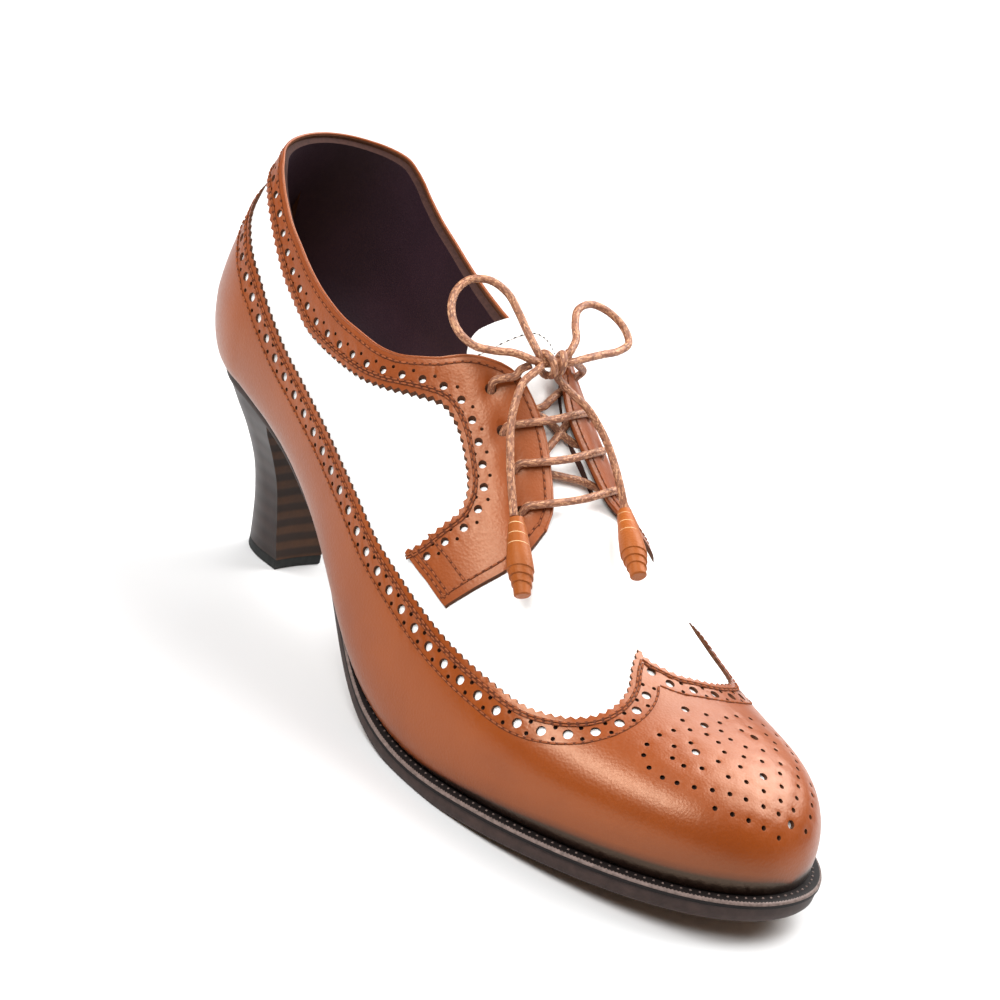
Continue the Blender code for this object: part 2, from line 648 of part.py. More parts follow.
def make_turned(name, start, end, profile, finish):
    """A round piece about the line from start to end: rows of (share of length, radius)."""
    start, end = Vector(start), Vector(end)
    turn = Vector((0, 0, 1)).rotation_difference(end - start)
    grid = Grid()
    rings = []
    for share, radius in profile:
        centre = start.lerp(end, share)
        ring = []
        for k in range(TURNED_SIDES):
            angle = 2 * math.pi * k / TURNED_SIDES
            ring.append(centre + turn @ Vector((radius * math.cos(angle), radius * math.sin(angle), 0)))
        rings.append(grid.row(ring))
    for near, far in zip(rings, rings[1:]):
        grid.ring(near, far)
    grid.faces.append(tuple(reversed(rings[0])))
    grid.faces.append(tuple(rings[-1]))
    return add_solid(name, grid.points, grid.faces, finish)


def make_lace(finish, tip_finish):
    make_lace_bars(finish)
    for name, route in LACE_ROUTES.items():
        make_cord(name, route, finish)
    make_turned("lace_knot", *KNOT, KNOT_PROFILE, finish)
    for name, (start, end) in LACE_TIPS.items():
        make_turned(name, start, end, TIP_PROFILE, tip_finish)


def main():
    for old in list(bpy.data.objects):
        bpy.data.objects.remove(old, do_unlink=True)
    white = material("white_leather", (0.85, 0.83, 0.79), 0.45)
    tan = material("tan_leather", (0.43, 0.15, 0.045), 0.35)
    dark_edge = material("dark_edge", (0.030, 0.020, 0.018), 0.40)
    stack = material("stacked_heel", (0.060, 0.032, 0.022), 0.40)
    rubber = material("black_rubber", (0.020, 0.020, 0.020), 0.60)
    sock = material("sock_leather", (0.52, 0.33, 0.19), 0.60)
    lace = material("waxed_lace", (0.30, 0.13, 0.065), 0.60)
    make_upper(white)
    make_tongue(material("tongue_leather", (0.86, 0.84, 0.80), 0.50))
    make_wing(tan)
    make_facing("facing_lateral", -1, tan)
    make_facing("facing_medial", 1, tan)
    make_insole(sock)
    make_welt(material("dark_welt", (0.026, 0.019, 0.018), 0.45))
    make_outsole(dark_edge)
    make_heel(stack)
    make_top_piece(rubber)
    make_lace(lace, material("tip_leather", (0.45, 0.17, 0.05), 0.45))


main()
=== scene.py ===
"""Looks of a right lace-up longwing brogue on a stacked heel.

Every piece grows from the same last as the solids: a table of cross sections from heel to toe.
A place on the last is (a, v): a runs along the foot in millimetres from the heel axis, negative
round the back of the heel, and v is the distance from the crest line, negative on the lateral side.
"""

import math

import bpy
import numpy as np
from mathutils import Matrix, Vector, kdtree
from mathutils.geometry import delaunay_2d_cdt


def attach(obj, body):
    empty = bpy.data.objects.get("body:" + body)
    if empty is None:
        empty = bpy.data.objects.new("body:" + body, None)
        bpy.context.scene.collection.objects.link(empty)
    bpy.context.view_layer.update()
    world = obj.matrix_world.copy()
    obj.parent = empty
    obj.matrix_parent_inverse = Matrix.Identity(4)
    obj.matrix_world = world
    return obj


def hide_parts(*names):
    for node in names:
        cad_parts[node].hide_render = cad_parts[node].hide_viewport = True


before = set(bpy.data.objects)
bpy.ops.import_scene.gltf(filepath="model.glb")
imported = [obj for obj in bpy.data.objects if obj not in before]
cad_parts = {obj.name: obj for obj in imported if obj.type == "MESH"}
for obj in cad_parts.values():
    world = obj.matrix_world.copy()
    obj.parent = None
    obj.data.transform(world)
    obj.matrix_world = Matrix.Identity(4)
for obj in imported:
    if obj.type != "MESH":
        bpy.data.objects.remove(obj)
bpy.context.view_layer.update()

# Sizes in millimetres, as in the solids
HEEL_X = 29.0
TOE_X = 160.0
TIP_X = 222.6
HEEL_ARC = 44.0
TOE_ARC = 80.0
BACK_FEATHER = 25.0
BACK_WIDTH = 32.0
SEAT_RISE = 4.0
BACK_LEAN = 7.5
LEAN_RISE = 45.0
LEAN_TOP = 70.0
LEAN_POWER = 1.5
TOE_POWER = 2.5
TOE_ROUND = 2.1
WALL = 1.8
GAP = 0.3
WELT_LEDGE = 4.5
WAIST_LEDGE = 0.8
WELT_DEPTH = 1.5
WELT_THIN = 0.4
WELT_START = 66.0
SOLE_DEPTH = 3.6
SEAT_DEPTH = 2.6
INSOLE_DEPTH = 2.0
TOP_PIECE_DEPTH = 3.0
CORD = 2.0
ORIGIN = np.array((111.31, 0.53, 0.0))
METRE = 0.001
TOE_A = TOE_X - HEEL_X
TIP_A = TOE_A + TOE_ARC

LAST_COLUMNS = ("x", "seat", "lat_feather", "med_feather", "lat_width", "med_width",
                "bulge", "crest", "power", "sway", "axis")
LAST = np.array((
    (29.0, 56.0, 24.5, 24.5, 29.0, 29.0, 17.0, 174.0, 1.40, 0.0, 2.0),
    (55.0, 47.5, 24.8, 23.5, 30.0, 28.6, 17.0, 160.0, 1.65, 1.0, 1.5),
    (80.0, 31.5, 25.7, 20.8, 32.2, 27.8, 17.0, 134.0, 1.85, 2.0, 0.5),
    (100.0, 16.0, 28.7, 22.3, 35.7, 29.8, 17.0, 107.5, 1.80, 3.0, 0.0),
    (120.0, 7.2, 32.8, 27.8, 38.3, 34.3, 16.0, 82.5, 1.85, 3.5, 0.0),
    (140.0, 5.3, 35.3, 33.0, 39.0, 38.0, 14.5, 62.0, 1.95, 3.5, 0.0),
    (160.0, 6.8, 35.5, 34.6, 38.5, 37.9, 13.0, 46.5, 2.05, 2.7, 0.5),
    (180.0, 8.6, 33.4, 32.4, 35.9, 34.9, 12.0, 39.0, 2.15, 1.4, 1.0),
    (200.0, 10.5, 31.8, 30.2, 33.8, 32.2, 11.5, 40.5, 2.25, 0.8, 1.8),
    (222.6, 12.6, 31.0, 28.0, 33.0, 30.0, 11.0, 46.5, 2.30, 0.5, 3.0),
))
COLLAR = (
    (-44.0, 0.494), (-36.0, 0.493), (-28.0, 0.491), (-20.0, 0.490), (-12.3, 0.486), (-7.7, 0.473),
    (-3.0, 0.457), (0.8, 0.439), (4.0, 0.424), (7.5, 0.411), (13.5, 0.399), (20.3, 0.390),
    (28.0, 0.395), (36.8, 0.423), (44.2, 0.465), (52.4, 0.523), (58.9, 0.585), (64.0, 0.649),
    (68.4, 0.712), (71.6, 0.770),
)
THROAT = {
    -1: ((74.9, 0.823), (78.0, 0.866), (81.9, 0.905), (86.0, 0.922), (90.0, 0.928), (94.0, 0.924),
         (98.0, 0.910), (102.0, 0.890), (105.0, 0.868), (107.4, 0.825)),
    1: ((74.9, 0.850), (78.0, 0.905), (81.9, 0.950), (86.0, 0.970), (90.0, 0.976), (94.0, 0.965),
        (98.0, 0.945), (102.0, 0.925), (105.0, 0.902), (107.4, 0.850)),
}
BAND_LINE = (
    (-44.0, 0.424), (-28.0, 0.421), (-18.0, 0.416), (-11.4, 0.409), (-7.3, 0.398), (-2.9, 0.382),
    (0.5, 0.364), (6.0, 0.338), (12.2, 0.315), (22.2, 0.301), (29.3, 0.310), (39.2, 0.354),
    (49.8, 0.426), (58.5, 0.508), (66.5, 0.599), (72.7, 0.668), (76.4, 0.696), (81.5, 0.706),
    (87.3, 0.692), (91.0, 0.667), (92.4, 0.622), (91.3, 0.575), (88.4, 0.478), (85.5, 0.425),
)
TAIL_END = ((85.5, 0.425), (94.3, 0.445), (102.7, 0.452))
TAIL_FRONT = ((102.7, 0.452), (105.9, 0.545), (108.7, 0.656), (108.9, 0.746), (107.4, 0.825))
WING_SIDE = (
    (-44.0, 0.392), (-30.0, 0.377), (-22.0, 0.350), (-16.9, 0.331), (-11.4, 0.315), (-4.3, 0.285),
    (2.4, 0.258), (10.0, 0.230), (19.8, 0.210), (29.5, 0.213), (40.0, 0.232), (53.0, 0.273),
    (65.1, 0.320), (75.3, 0.348), (85.1, 0.373), (94.6, 0.386), (104.3, 0.393),
)
WING_FRONT = {
    -1: ((114.7, 0.401), (123.8, 0.411), (131.8, 0.422), (137.3, 0.455), (141.7, 0.515),
         (144.1, 0.600), (143.9, 0.706), (141.7, 0.803), (138.4, 0.873), (135.5, 0.943)),
    1: ((112.0, 0.422), (118.0, 0.470), (124.0, 0.520), (128.0, 0.535), (132.0, 0.528),
        (136.0, 0.510), (139.5, 0.522), (142.2, 0.570), (143.6, 0.640), (144.2, 0.720),
        (143.9, 0.789), (142.8, 0.870), (141.7, 0.933), (139.1, 1.000)),
}
WING_PEAK = ((137.7, 0.970), (136.2, 0.957), (135.0, 0.952))
TONGUE = (
    (70.3, 0.5), (70.0, 6.0), (69.0, 12.0), (68.2, 17.0), (68.8, 20.5), (71.5, 22.0), (80.0, 20.5),
    (88.0, 18.0), (95.0, 16.0), (105.0, 14.0), (112.0, 12.0),
)
HEEL = (
    (1.00, 3.6, 40.0, 24.0, 2.0),
    (0.88, 7.8, 37.8, 20.8, 2.1),
    (0.72, 11.5, 35.8, 16.7, 2.8),
    (0.52, 13.8, 34.2, 12.9, 3.9),
    (0.32, 14.3, 33.2, 10.5, 4.7),
    (0.14, 13.4, 32.3, 9.1, 5.7),
    (0.00, 11.8, 31.6, 8.0, 6.8),
)
EYELETS = ((80.0, 18.2, 14.0), (87.3, 17.8, 13.6), (94.2, 17.6, 13.8), (101.5, 19.0, 14.6))
LACE_ROUTES = {
    "lace_lead_left": (
        (110.00, -13.30, 90.80), (110.85, -10.91, 91.81), (111.75, -8.44, 92.54), (111.25, -6.49, 94.09),
        (112.69, -4.95, 95.77),
    ),
    "lace_lead_right": (
        (109.80, 16.60, 91.80), (111.25, 13.09, 94.05), (112.81, 9.42, 95.93), (114.66, 5.53, 96.61),
    ),
    "lace_loop_left": (
        (112.63, -4.01, 99.35), (108.37, -4.41, 102.52), (104.48, -5.10, 106.10), (100.78, -6.54, 109.63),
        (97.10, -9.72, 111.62), (95.12, -14.53, 111.20), (95.92, -19.03, 108.59), (98.74, -21.72, 105.03),
        (102.48, -21.77, 101.34), (106.18, -19.03, 98.82), (108.75, -14.44, 98.29), (110.75, -9.50, 98.25),
        (113.63, -5.16, 97.24),
    ),
    "lace_loop_right": (
        (115.64, 4.26, 100.06), (112.76, 8.14, 101.95), (108.81, 10.71, 104.19), (105.49, 13.90, 106.59),
        (104.79, 18.81, 107.67), (107.18, 23.22, 106.39), (110.62, 26.03, 103.66), (114.50, 25.14, 100.91),
        (115.99, 20.38, 99.54), (116.44, 15.19, 99.17), (116.69, 10.00, 98.61), (116.48, 4.91, 97.51),
    ),
    "lace_end_left": (
        (115.69, -4.99, 95.98), (116.51, -9.80, 93.25), (118.57, -13.04, 89.18), (121.08, -15.30, 84.70),
        (124.08, -16.81, 80.18), (127.18, -18.00, 75.65), (130.39, -18.92, 71.12), (133.64, -19.67, 66.59),
    ),
    "lace_end_right": (
        (115.47, 2.32, 93.03), (118.77, 4.91, 90.39), (122.34, 7.81, 87.84), (125.24, 10.27, 84.19),
        (128.40, 11.89, 80.31), (131.71, 12.55, 76.26), (135.04, 12.72, 72.18), (137.79, 13.15, 67.70),
    ),
}
KNOT = ((113.6, -4.2, 96.6), (116.0, 4.4, 97.3))
LACE_TIPS = {
    "lace_tip_left": ((134.2, -19.3, 66.3), (147.7, -24.9, 52.9)),
    "lace_tip_right": ((138.4, 12.7, 67.1), (154.2, 5.9, 57.6)),
}
UNDER_LACES = (
    ((84.0, -13.0), (86.2, -5.0), (85.7, -1.3), (84.5, 2.2), (82.0, 9.0)),
    ((84.5, -11.0), (88.5, -3.2), (90.7, -0.6), (92.4, 3.0), (94.0, 10.0)),
    ((95.0, -12.0), (92.6, -4.4), (91.3, -1.0), (89.3, 3.4), (86.5, 10.0)),
    ((95.5, -13.0), (97.4, -6.1), (98.8, -1.5), (100.0, 6.3), (100.8, 12.5)),
)

# Leather layers: heights over the last
SKIN_LOW = 0.08
SKIN_HIGH = 1.05
FACING_HIGH = 1.1
EDGE_DROP = 0.14
# Height of the dark discs of painted shade under the small holes
HOLE_SHADE_LIFT = 0.1
TONGUE_LOW = -4.5
TONGUE_HIGH = -2.75
UNDER_LACE = -1.4

# Meshes of the leather sheets: steps, and room kept at rims and holes
WING_STEP = 1.7
FACING_STEP = 1.6
TONGUE_STEP = 1.8
LINE_STEP = 0.8
ROW_SHARE = 0.87
HOLE_ROOM = 0.98
RIM_ROOM = 0.42

# Soft forms: dimples at the eyelets, swells between them, flex creases over the vamp
DIMPLE_DEPTH = 0.55
DIMPLE_RADIUS = 3.4
SWELL_HEIGHT = 0.22
SWELL_RADIUS = 3.0
SWELL_SHIFT = 1.5
CREASES = ((116.5, 0.16, 2.6), (121.5, 0.22, 2.8), (127.0, 0.14, 2.6))
CREASE_REACH = 34.0
CREASE_BOW = 0.0055
ROLL_SHARE = 0.6
ROLL_SHIFT = 1.6

# Height of the painted shade of the undercut over the welt, at places along the foot
WELT_SHADE_PLACES = (-44.0, 60.0, 100.0, 130.0, 150.0, 190.0, 211.0)
WELT_SHADE_HEIGHTS = (0.9, 0.9, 1.2, 3.0, 4.0, 3.8, 2.6)
WELT_SHADE_FADE = 5

# Punched border: distances from the pinked edge
TOOTH_PITCH = 2.35
TOOTH_DEPTH = 0.8
TOOTH_WAVE = (-0.42, 0.05, 0.58, 0.05)
WING_ROWS = (1.5, 2.2, 6.9)
WING_HOLES = 4.35
BAND_ROWS = (1.3, 1.95)
BAND_HOLES = 3.6
BIG_HOLE = 1.22
SMALL_HOLE = 0.55
BAND_BIG_HOLE = 1.02
BAND_SMALL_HOLE = 0.45
WING_PITCH = 6.4
BAND_PITCH = 5.75
PAIR_REACH = 1.45
PAIR_STEPS = 20
BIG_SIDES = 16
SMALL_SIDES = 10
# How much wider than its hole each disc of painted hole shade is
HOLE_SHADE_SPREAD = 1.25

# Toe medallion: the axis it is laid out on, holes on it, and pairs beside it
MEDALLION_AXIS = ((150.0, -2.3), (175.0, -0.6), (191.0, 0.3))
MEDALLION_BIG_AXIS = (150.3, 155.9, 175.3, 191.1)
MEDALLION_BIG_PAIR = ((162.4, 9.65),)
MEDALLION_AXIS_HOLES = (168.1, 183.6)
MEDALLION_PAIRS = (
    (153.0, 3.9), (154.8, 8.7), (154.5, 12.7), (155.2, 17.2), (156.1, 4.9), (157.0, 20.0),
    (158.7, 2.4), (159.6, 8.4), (158.7, 12.6), (160.1, 21.5), (161.9, 2.0), (161.2, 15.6),
    (163.8, 21.1), (164.3, 15.2), (165.2, 3.5), (166.9, 19.6), (167.1, 12.3), (167.2, 7.4),
    (170.2, 17.3), (170.7, 3.6), (172.2, 8.7), (173.3, 14.4), (175.4, 5.6), (176.5, 11.5),
    (177.4, 16.6), (179.5, 3.0), (179.8, 8.8), (181.3, 13.8), (183.6, 5.6), (185.1, 10.9),
    (187.1, 2.5), (189.1, 8.0), (193.7, 4.6),
)
TOE_BIG_HOLE = 1.05
TOE_SMALL_HOLE = 0.62
TOE_BIG_SIDES = 12

# Peak of the wing: its own hole and the room kept round it
PEAK_HOLE = (140.0, -3.2)
PEAK_CLEAR = 3.2

# Lower edge of the wing, and how its holes and rows end where the two sides meet
FEATHER_SHARE = 0.004
FEATHER_BACK = 0.05
FEATHER_TIP = 0.4
HOLE_TRIM = 1.0
ROW_TRIM = 0.1
ROW_STEP = 0.5

# Rows of stitches on the facings, and the thread in its groove
TOP_ROW = 1.9
FRONT_ROW = 2.2
TAIL_ROWS = (1.3, 2.6, 7.5)
BACK_END = -43.5
EYE_HOLE = 1.45
STITCH_RING = 6
STITCH_SHARES = ((-0.5, 0.25), (-0.36, 0.85), (0.0, 1.0), (0.36, 0.85), (0.5, 0.25))
STITCH_FLAT = 0.8
THREAD_LIFT = 0.1
GROOVE_LIFT = 0.03

# Opening over the tongue, and how the vamp sinks under the facings there
SLOT_END = 101.0
SLOT_STEP = 0.4
TOP_DROP = 0.006
DIP_END = 112.0
DIP = 2.4
DIP_MIDDLE = -2.5
DIP_HALF = 8.0
DIP_SOFT = 1.35
DIP_FLARE = 0.9
DIP_FLARE_START = 96.0
DIP_FLARE_RUN = 20.0
TONGUE_END = 106.0
TONGUE_ROW = 73.6
TONGUE_ROW_HALF = 19.0
TONGUE_ROW_BOW = 0.006

# Folded bead along the collar
COLLAR_BEAD_OUT = FACING_HIGH + 0.05
COLLAR_BEAD_IN = 0.3
COLLAR_BEAD_HALF = 0.38
COLLAR_BEAD_SIDES = 10

# Bottom: where the ledges and depths change, and the edges' profiles
WELT_RUN = (WELT_START, WELT_START + 45)
LEDGE_RUN = (72.0, 118.0)
SEAT_RUN = (50.0, 64.0)
SOLE_RUN = (70.0, 125.0)
SOLE_INSET_RUN = (90.0, 120.0)
SOLE_INSET = 0.5
RIB = 0.42
RIB_HEIGHT = 0.14
WELT_PROFILE = (
    (-6.0, 0.0, 0.0), (0.25, 0.0, 0.0), (0.42, 0.10, 0.2), (0.60, 0.05, 1.0), (0.86, 0.02, 1.0),
    (0.96, -0.12, 0.5), (1.0, -0.45, 0.0), (1.0, -1.0, 0.0), (0.9, -1.0, 0.0), (-6.0, -1.0, 0.0),
)
LIP_FACES = (4, 5)
WELT_STITCH = 5
WELT_STITCH_LIFT = 0.12
BEAD_RINGS = ((0.0, 0.32), (0.16, 0.22))
BEAD_SIDES = 6
SOLE_PROFILE = ((0.0, 1.0), (0.0, 0.55), (0.15, 0.2), (0.7, 0.0))
INSOLE_INSET = WALL + 0.45
INSOLE_CUP = 0.9
INSOLE_DROP = 0.3

# Heel
HEEL_ROUND = 0.7
HEEL_CURVE = 0.9
HEEL_GAP = 0.05
HEEL_LEVELS = 46
HEEL_TURN_POINTS = 26
HEEL_SIDE_POINTS = 12
BREAST_POINTS = 12
BREAST_HOLLOW = 0.5
TOP_PIECE_PROFILE = (
    (TOP_PIECE_DEPTH, 0.25), (TOP_PIECE_DEPTH - 0.25, 0.0), (0.6, 0.0), (0.15, 0.2), (0.0, 0.7),
)

# Lace: braid, bars, knot, tips
HANDS = ("left", "right")
BRAID_SIDES = 20
BRAID_STEP = 0.3
STRANDS = 5
BRAID_TURN = 4.2
BRAID_DEPTH = 0.06
BAR_BOW = 3.7
BAR_SHIFT = 0.5
BAR_LIFT = FACING_HIGH + CORD / 2
BAR_END = (
    (1.02, -1.8), (1.0, -0.6), (0.975, 0.9), (0.90, BAR_LIFT), (0.75, BAR_LIFT), (0.5, BAR_LIFT),
    (0.25, BAR_LIFT - 0.1),
)
BAR_MIDDLE = BAR_LIFT - 0.2
LEAD_IN = 0.985
LEAD_HEIGHTS = (-1.6, 0.6)
KNOT_UP = (0.55, -0.2, 0.8)
KNOT_TURNS = ((-1.9, 0.84, 2.7, 0.7), (1.6, -0.72, 2.2, 0.1))
KNOT_STEPS = 16
KNOT_PHASE = 2.2
KNOT_CREEP = 0.05
CORE_HALF = 4.4
CORE_WAVE = 0.15
CORE_RADIUS = 1.15
ENTRY_REACH = 2.6
ENTRY_OVERLAP = 0.5
ENTRY_RADIUS = 0.98 * CORD / 2
TIP_PROFILE = (
    (0.0, 1.4), (0.01, 1.75), (0.12, 2.1), (0.128, 2.2), (0.25, 2.42), (0.258, 2.52), (0.38, 2.75),
    (0.388, 2.85), (0.60, 3.2), (0.68, 3.25), (0.69, 2.95), (0.775, 2.9), (0.785, 2.5), (0.87, 2.45),
    (0.88, 2.1), (0.985, 2.05), (1.0, 1.7),
)
TIP_SIDES = 28
TIP_PALE = (2, 4, 6)
TIP_LEAN = 0.04
TIP_LEAN_TURN = 1.0
TIP_LEAN_RUN = (0.05, 0.95)

# Stage, in degrees and millimetres for the camera and in metres for the lights
CAMERA_TURN = (44.02, 21.14, 14.19)
CAMERA_DISTANCE = 581.07
CAMERA_TARGET = np.array((112.2, -3.39, 59.31))
CAMERA_LENS = 84.45
CAMERA_SENSOR = 36.0
CAMERA_NEAR = 0.01
FLOOR_HALF = 3
FLOOR_TONE = 0.66
FLOOR_ROUGH = 0.6
WORLD_STRENGTH = 0.12
LIGHTS = (
    ("overhead", (0.1, 0.2, 1.7), (0.1, 0.2, 0.0), (3.2, 3.2), 9.0),
    ("key", (-0.02, -0.62, 0.92), (0.02, 0.0, 0.06), (1.2, 0.4), 19.0),
    ("fill", (0.22, 0.62, 0.95), (0.05, 0.0, 0.05), (0.9, 0.9), 15.0),
    ("backdrop", (-0.3, 1.8, 1.2), (-0.3, 1.8, 0.0), (2.4, 2.0), 60.0),
)

CREST = LAST_COLUMNS.index("crest") - 1
LOW_TURN = np.linspace(0, math.pi / 2, 13)
HIGH_TURN = np.linspace(0, math.pi / 2, 41)[1:]


def unit(rows):
    return rows / np.linalg.norm(rows, axis=1)[:, None]


def run_lengths(points):
    """Distance along a row of points, from its first."""
    return np.concatenate([[0], np.cumsum(np.linalg.norm(np.diff(points, axis=0), axis=1))])


def between(goals, length, rows):
    """Rows at goal distances, where length is the distance of each row."""
    return np.stack([np.interp(goals, length, column) for column in rows.T], 1)


def stations(stops, counts):
    """Places along the foot, in even steps from stop to stop."""
    steps = [np.linspace(start, end, count)[1:] for start, end, count in zip(stops, stops[1:], counts)]
    return np.concatenate([stops[:1]] + steps)


def angles(count):
    return np.linspace(0, 2 * math.pi, count, endpoint=False)


def fade(x, start, end):
    t = np.clip((x - start) / (end - start), 0, 1)
    return t * t * (3 - 2 * t)


def search_tree(points):
    tree = kdtree.KDTree(len(points))
    for i, point in enumerate(points):
        tree.insert(point, i)
    tree.balance()
    return tree


def spline_curvature(x, y):
    """Second derivatives of a natural cubic spline through the rows of y."""
    count = len(x)
    step = np.diff(x)
    matrix = np.eye(count)
    right = np.zeros_like(y)
    for i in range(1, count - 1):
        matrix[i, i - 1:i + 2] = step[i - 1], 2 * (step[i - 1] + step[i]), step[i]
        right[i] = 6 * ((y[i + 1] - y[i]) / step[i] - (y[i] - y[i - 1]) / step[i - 1])
    return np.linalg.solve(matrix, right)


CURVATURE = spline_curvature(LAST[:, 0], LAST[:, 1:])


def last_columns(x):
    knots = LAST[:, 0]
    i = np.clip(np.searchsorted(knots, x) - 1, 0, len(knots) - 2)
    width = (knots[i + 1] - knots[i])[:, None]
    t = (x - knots[i])[:, None] / width
    bend = ((1 - t) ** 3 - (1 - t)) * CURVATURE[i] + (t ** 3 - t) * CURVATURE[i + 1]
    return (1 - t) * LAST[i, 1:] + t * LAST[i + 1, 1:] + width ** 2 / 6 * bend


def sections(side, a, grow=0.0):
    """Half sections of the last at positions a, moved outwards by grow."""
    heel_turn = np.clip(1 + a / HEEL_ARC, 0, 1) * math.pi / 2
    toe_turn = np.clip((a - TOE_A) / TOE_ARC, 0, 1) * math.pi / 2
    reach = np.sin(toe_turn)
    x = np.where(a <= TOE_A, HEEL_X + np.maximum(a, 0), TOE_X + (TIP_X + grow - TOE_X) * reach)
    columns = last_columns(np.minimum(x, TIP_X)).T
    ahead = last_columns(np.minimum(x + 1, TIP_X))[:, CREST]
    behind = last_columns(np.minimum(x, TIP_X) - 1)[:, CREST]
    steep = np.sqrt(1 + ((ahead - behind) / 2) ** 2)
    seat, lat_feather, med_feather, lat_width, med_width, bulge, crest, power, sway, axis = columns
    back = np.cos(heel_turn)
    taper = np.maximum(1 - reach ** TOE_POWER, 0) ** (1 / TOE_ROUND)
    feather = np.where(side < 0, lat_feather, med_feather)
    width = np.where(side < 0, lat_width, med_width)
    feather = (feather + (BACK_FEATHER - feather) * back ** 2 + grow) * taper
    width = (width + (BACK_WIDTH - width) * back ** 2 + grow) * taper
    crest = seat + (crest + grow * steep - seat) * taper + SEAT_RISE * back
    bulge = bulge * taper
    seat = seat + SEAT_RISE * back
    low = feather[:, None] + (width - feather)[:, None] * np.sin(LOW_TURN)
    low_z = seat[:, None] + bulge[:, None] * (1 - np.cos(LOW_TURN))
    round_power = (2 / power)[:, None]
    high = width[:, None] * np.maximum(np.cos(HIGH_TURN), 0) ** round_power
    high_z = (seat + bulge)[:, None] + (crest - seat - bulge)[:, None] * np.sin(HIGH_TURN) ** round_power
    out = np.concatenate([low, high], 1)
    z = np.concatenate([low_z, high_z], 1)
    share = (z - seat[:, None]) / np.maximum(crest - seat, 0.001)[:, None]
    y = (side * np.sin(heel_turn))[:, None] * out + axis[:, None] + sway[:, None] * np.clip(share, 0, 1)
    rise = np.clip(z - (seat + bulge)[:, None], 0, LEAN_TOP) / LEAN_RISE
    lean = BACK_LEAN * rise ** LEAN_POWER
    return np.stack([x[:, None] + back[:, None] * (lean - out), y, z], 2)


def girths(curves):
    steps = np.linalg.norm(np.diff(curves, axis=1), axis=2)
    return np.concatenate([np.zeros((len(curves), 1)), np.cumsum(steps, 1)], 1)


def surface(side, a, f, grow=0.0):
    """Points on the last at (side, a, f), f from the feather edge (0) to the crest (1)."""
    side, a, f, grow = np.broadcast_arrays(*(np.asarray(q, float) for q in (side, a, f, grow)))
    side, a, f, grow = side.ravel(), a.ravel(), f.ravel(), grow.ravel()
    curves = sections(side, a, grow)
    length = girths(curves)
    goal = f * length[:, -1]
    i = np.clip((length < goal[:, None]).sum(1) - 1, 0, length.shape[1] - 2)
    rows = np.arange(len(a))
    step = np.maximum(length[rows, i + 1] - length[rows, i], 1e-9)
    t = ((goal - length[rows, i]) / step)[:, None]
    return curves[rows, i] * (1 - t) + curves[rows, i + 1] * t


def half_girth(side, a):
    return girths(sections(side, a))[:, -1]


GIRTH_A = np.linspace(-HEEL_ARC, TIP_A, 700)
GIRTHS = {side: half_girth(np.full(len(GIRTH_A), float(side)), GIRTH_A) for side in (-1, 1)}


def girth_at(v, a):
    return np.where(v < 0, np.interp(a, GIRTH_A, GIRTHS[-1]), np.interp(a, GIRTH_A, GIRTHS[1]))


def bump(a, v, centre_a, centre_v, radius):
    return np.exp(-((a - centre_a) ** 2 + (v - centre_v) ** 2) / radius ** 2)


def relief(a, v):
    """Soft dimples and flex creases of the leather, in millimetres."""
    total = np.zeros_like(a)
    for row_a, *reaches in EYELETS:
        for side, reach in zip((-1, 1), reaches):
            total -= DIMPLE_DEPTH * bump(a, v, row_a, side * reach, DIMPLE_RADIUS)
    for low, high in zip(EYELETS, EYELETS[1:]):
        middle = (low[0] + high[0]) / 2
        for side, reach in zip((-1, 1), low[1:]):
            total += SWELL_HEIGHT * bump(a, v, middle, side * (reach + SWELL_SHIFT), SWELL_RADIUS)
    across = np.exp(-(v / CREASE_REACH) ** 2)
    for crease_a, depth, spread in CREASES:
        line = crease_a + CREASE_BOW * v ** 2
        total -= depth * across * np.exp(-((a - line) / spread) ** 2)
        total += ROLL_SHARE * depth * across * np.exp(-((a - line - ROLL_SHIFT * spread) / spread) ** 2)
    return total


def place(a, v, grow=0.0):
    """Points at flat places (a, v), grow millimetres over the last."""
    a, v, grow = np.broadcast_arrays(*(np.asarray(q, float) for q in (a, v, grow)))
    side = np.where(v < 0, -1.0, 1.0)
    f = np.clip(1 - np.abs(v) / np.maximum(girth_at(v, a), 0.001), 0, 1)
    return surface(side, a, f, grow + relief(a, v))


def smooth(points, spacing):
    """A smooth open curve through the points, about spacing apart."""
    points = np.asarray(points, float)
    padded = np.concatenate([[2 * points[0] - points[1]], points, [2 * points[-1] - points[-2]]])
    curve = []
    for p0, p1, p2, p3 in zip(padded, padded[1:], padded[2:], padded[3:]):
        count = max(1, round(np.linalg.norm(p2 - p1) / spacing))
        for t in np.arange(count) / count:
            curve.append(0.5 * (2 * p1 + (p2 - p0) * t + (2 * p0 - 5 * p1 + 4 * p2 - p3) * t ** 2
                                + (3 * p1 - p0 - 3 * p2 + p3) * t ** 3))
    return np.array(curve + [points[-1]])


def flat_line(side, line):
    """Turn (a, f) places of one side into flat (a, v)."""
    a, f = np.asarray(line, float).T
    return np.stack([a, side * (1 - f) * np.interp(a, GIRTH_A, GIRTHS[side])], 1)


def flat_curve(side, line):
    return smooth(flat_line(side, line), LINE_STEP)


def lengths(flat):
    return run_lengths(place(*flat.T, SKIN_HIGH))


def along_line(flat, goals):
    """Flat places at distances along a flat line."""
    return between(goals, lengths(flat), flat)


def resample(flat, pitch):
    """The flat line again, with points an even distance apart on the surface."""
    total = lengths(flat)[-1]
    return along_line(flat, np.linspace(0, total, max(2, round(total / pitch) + 1)))


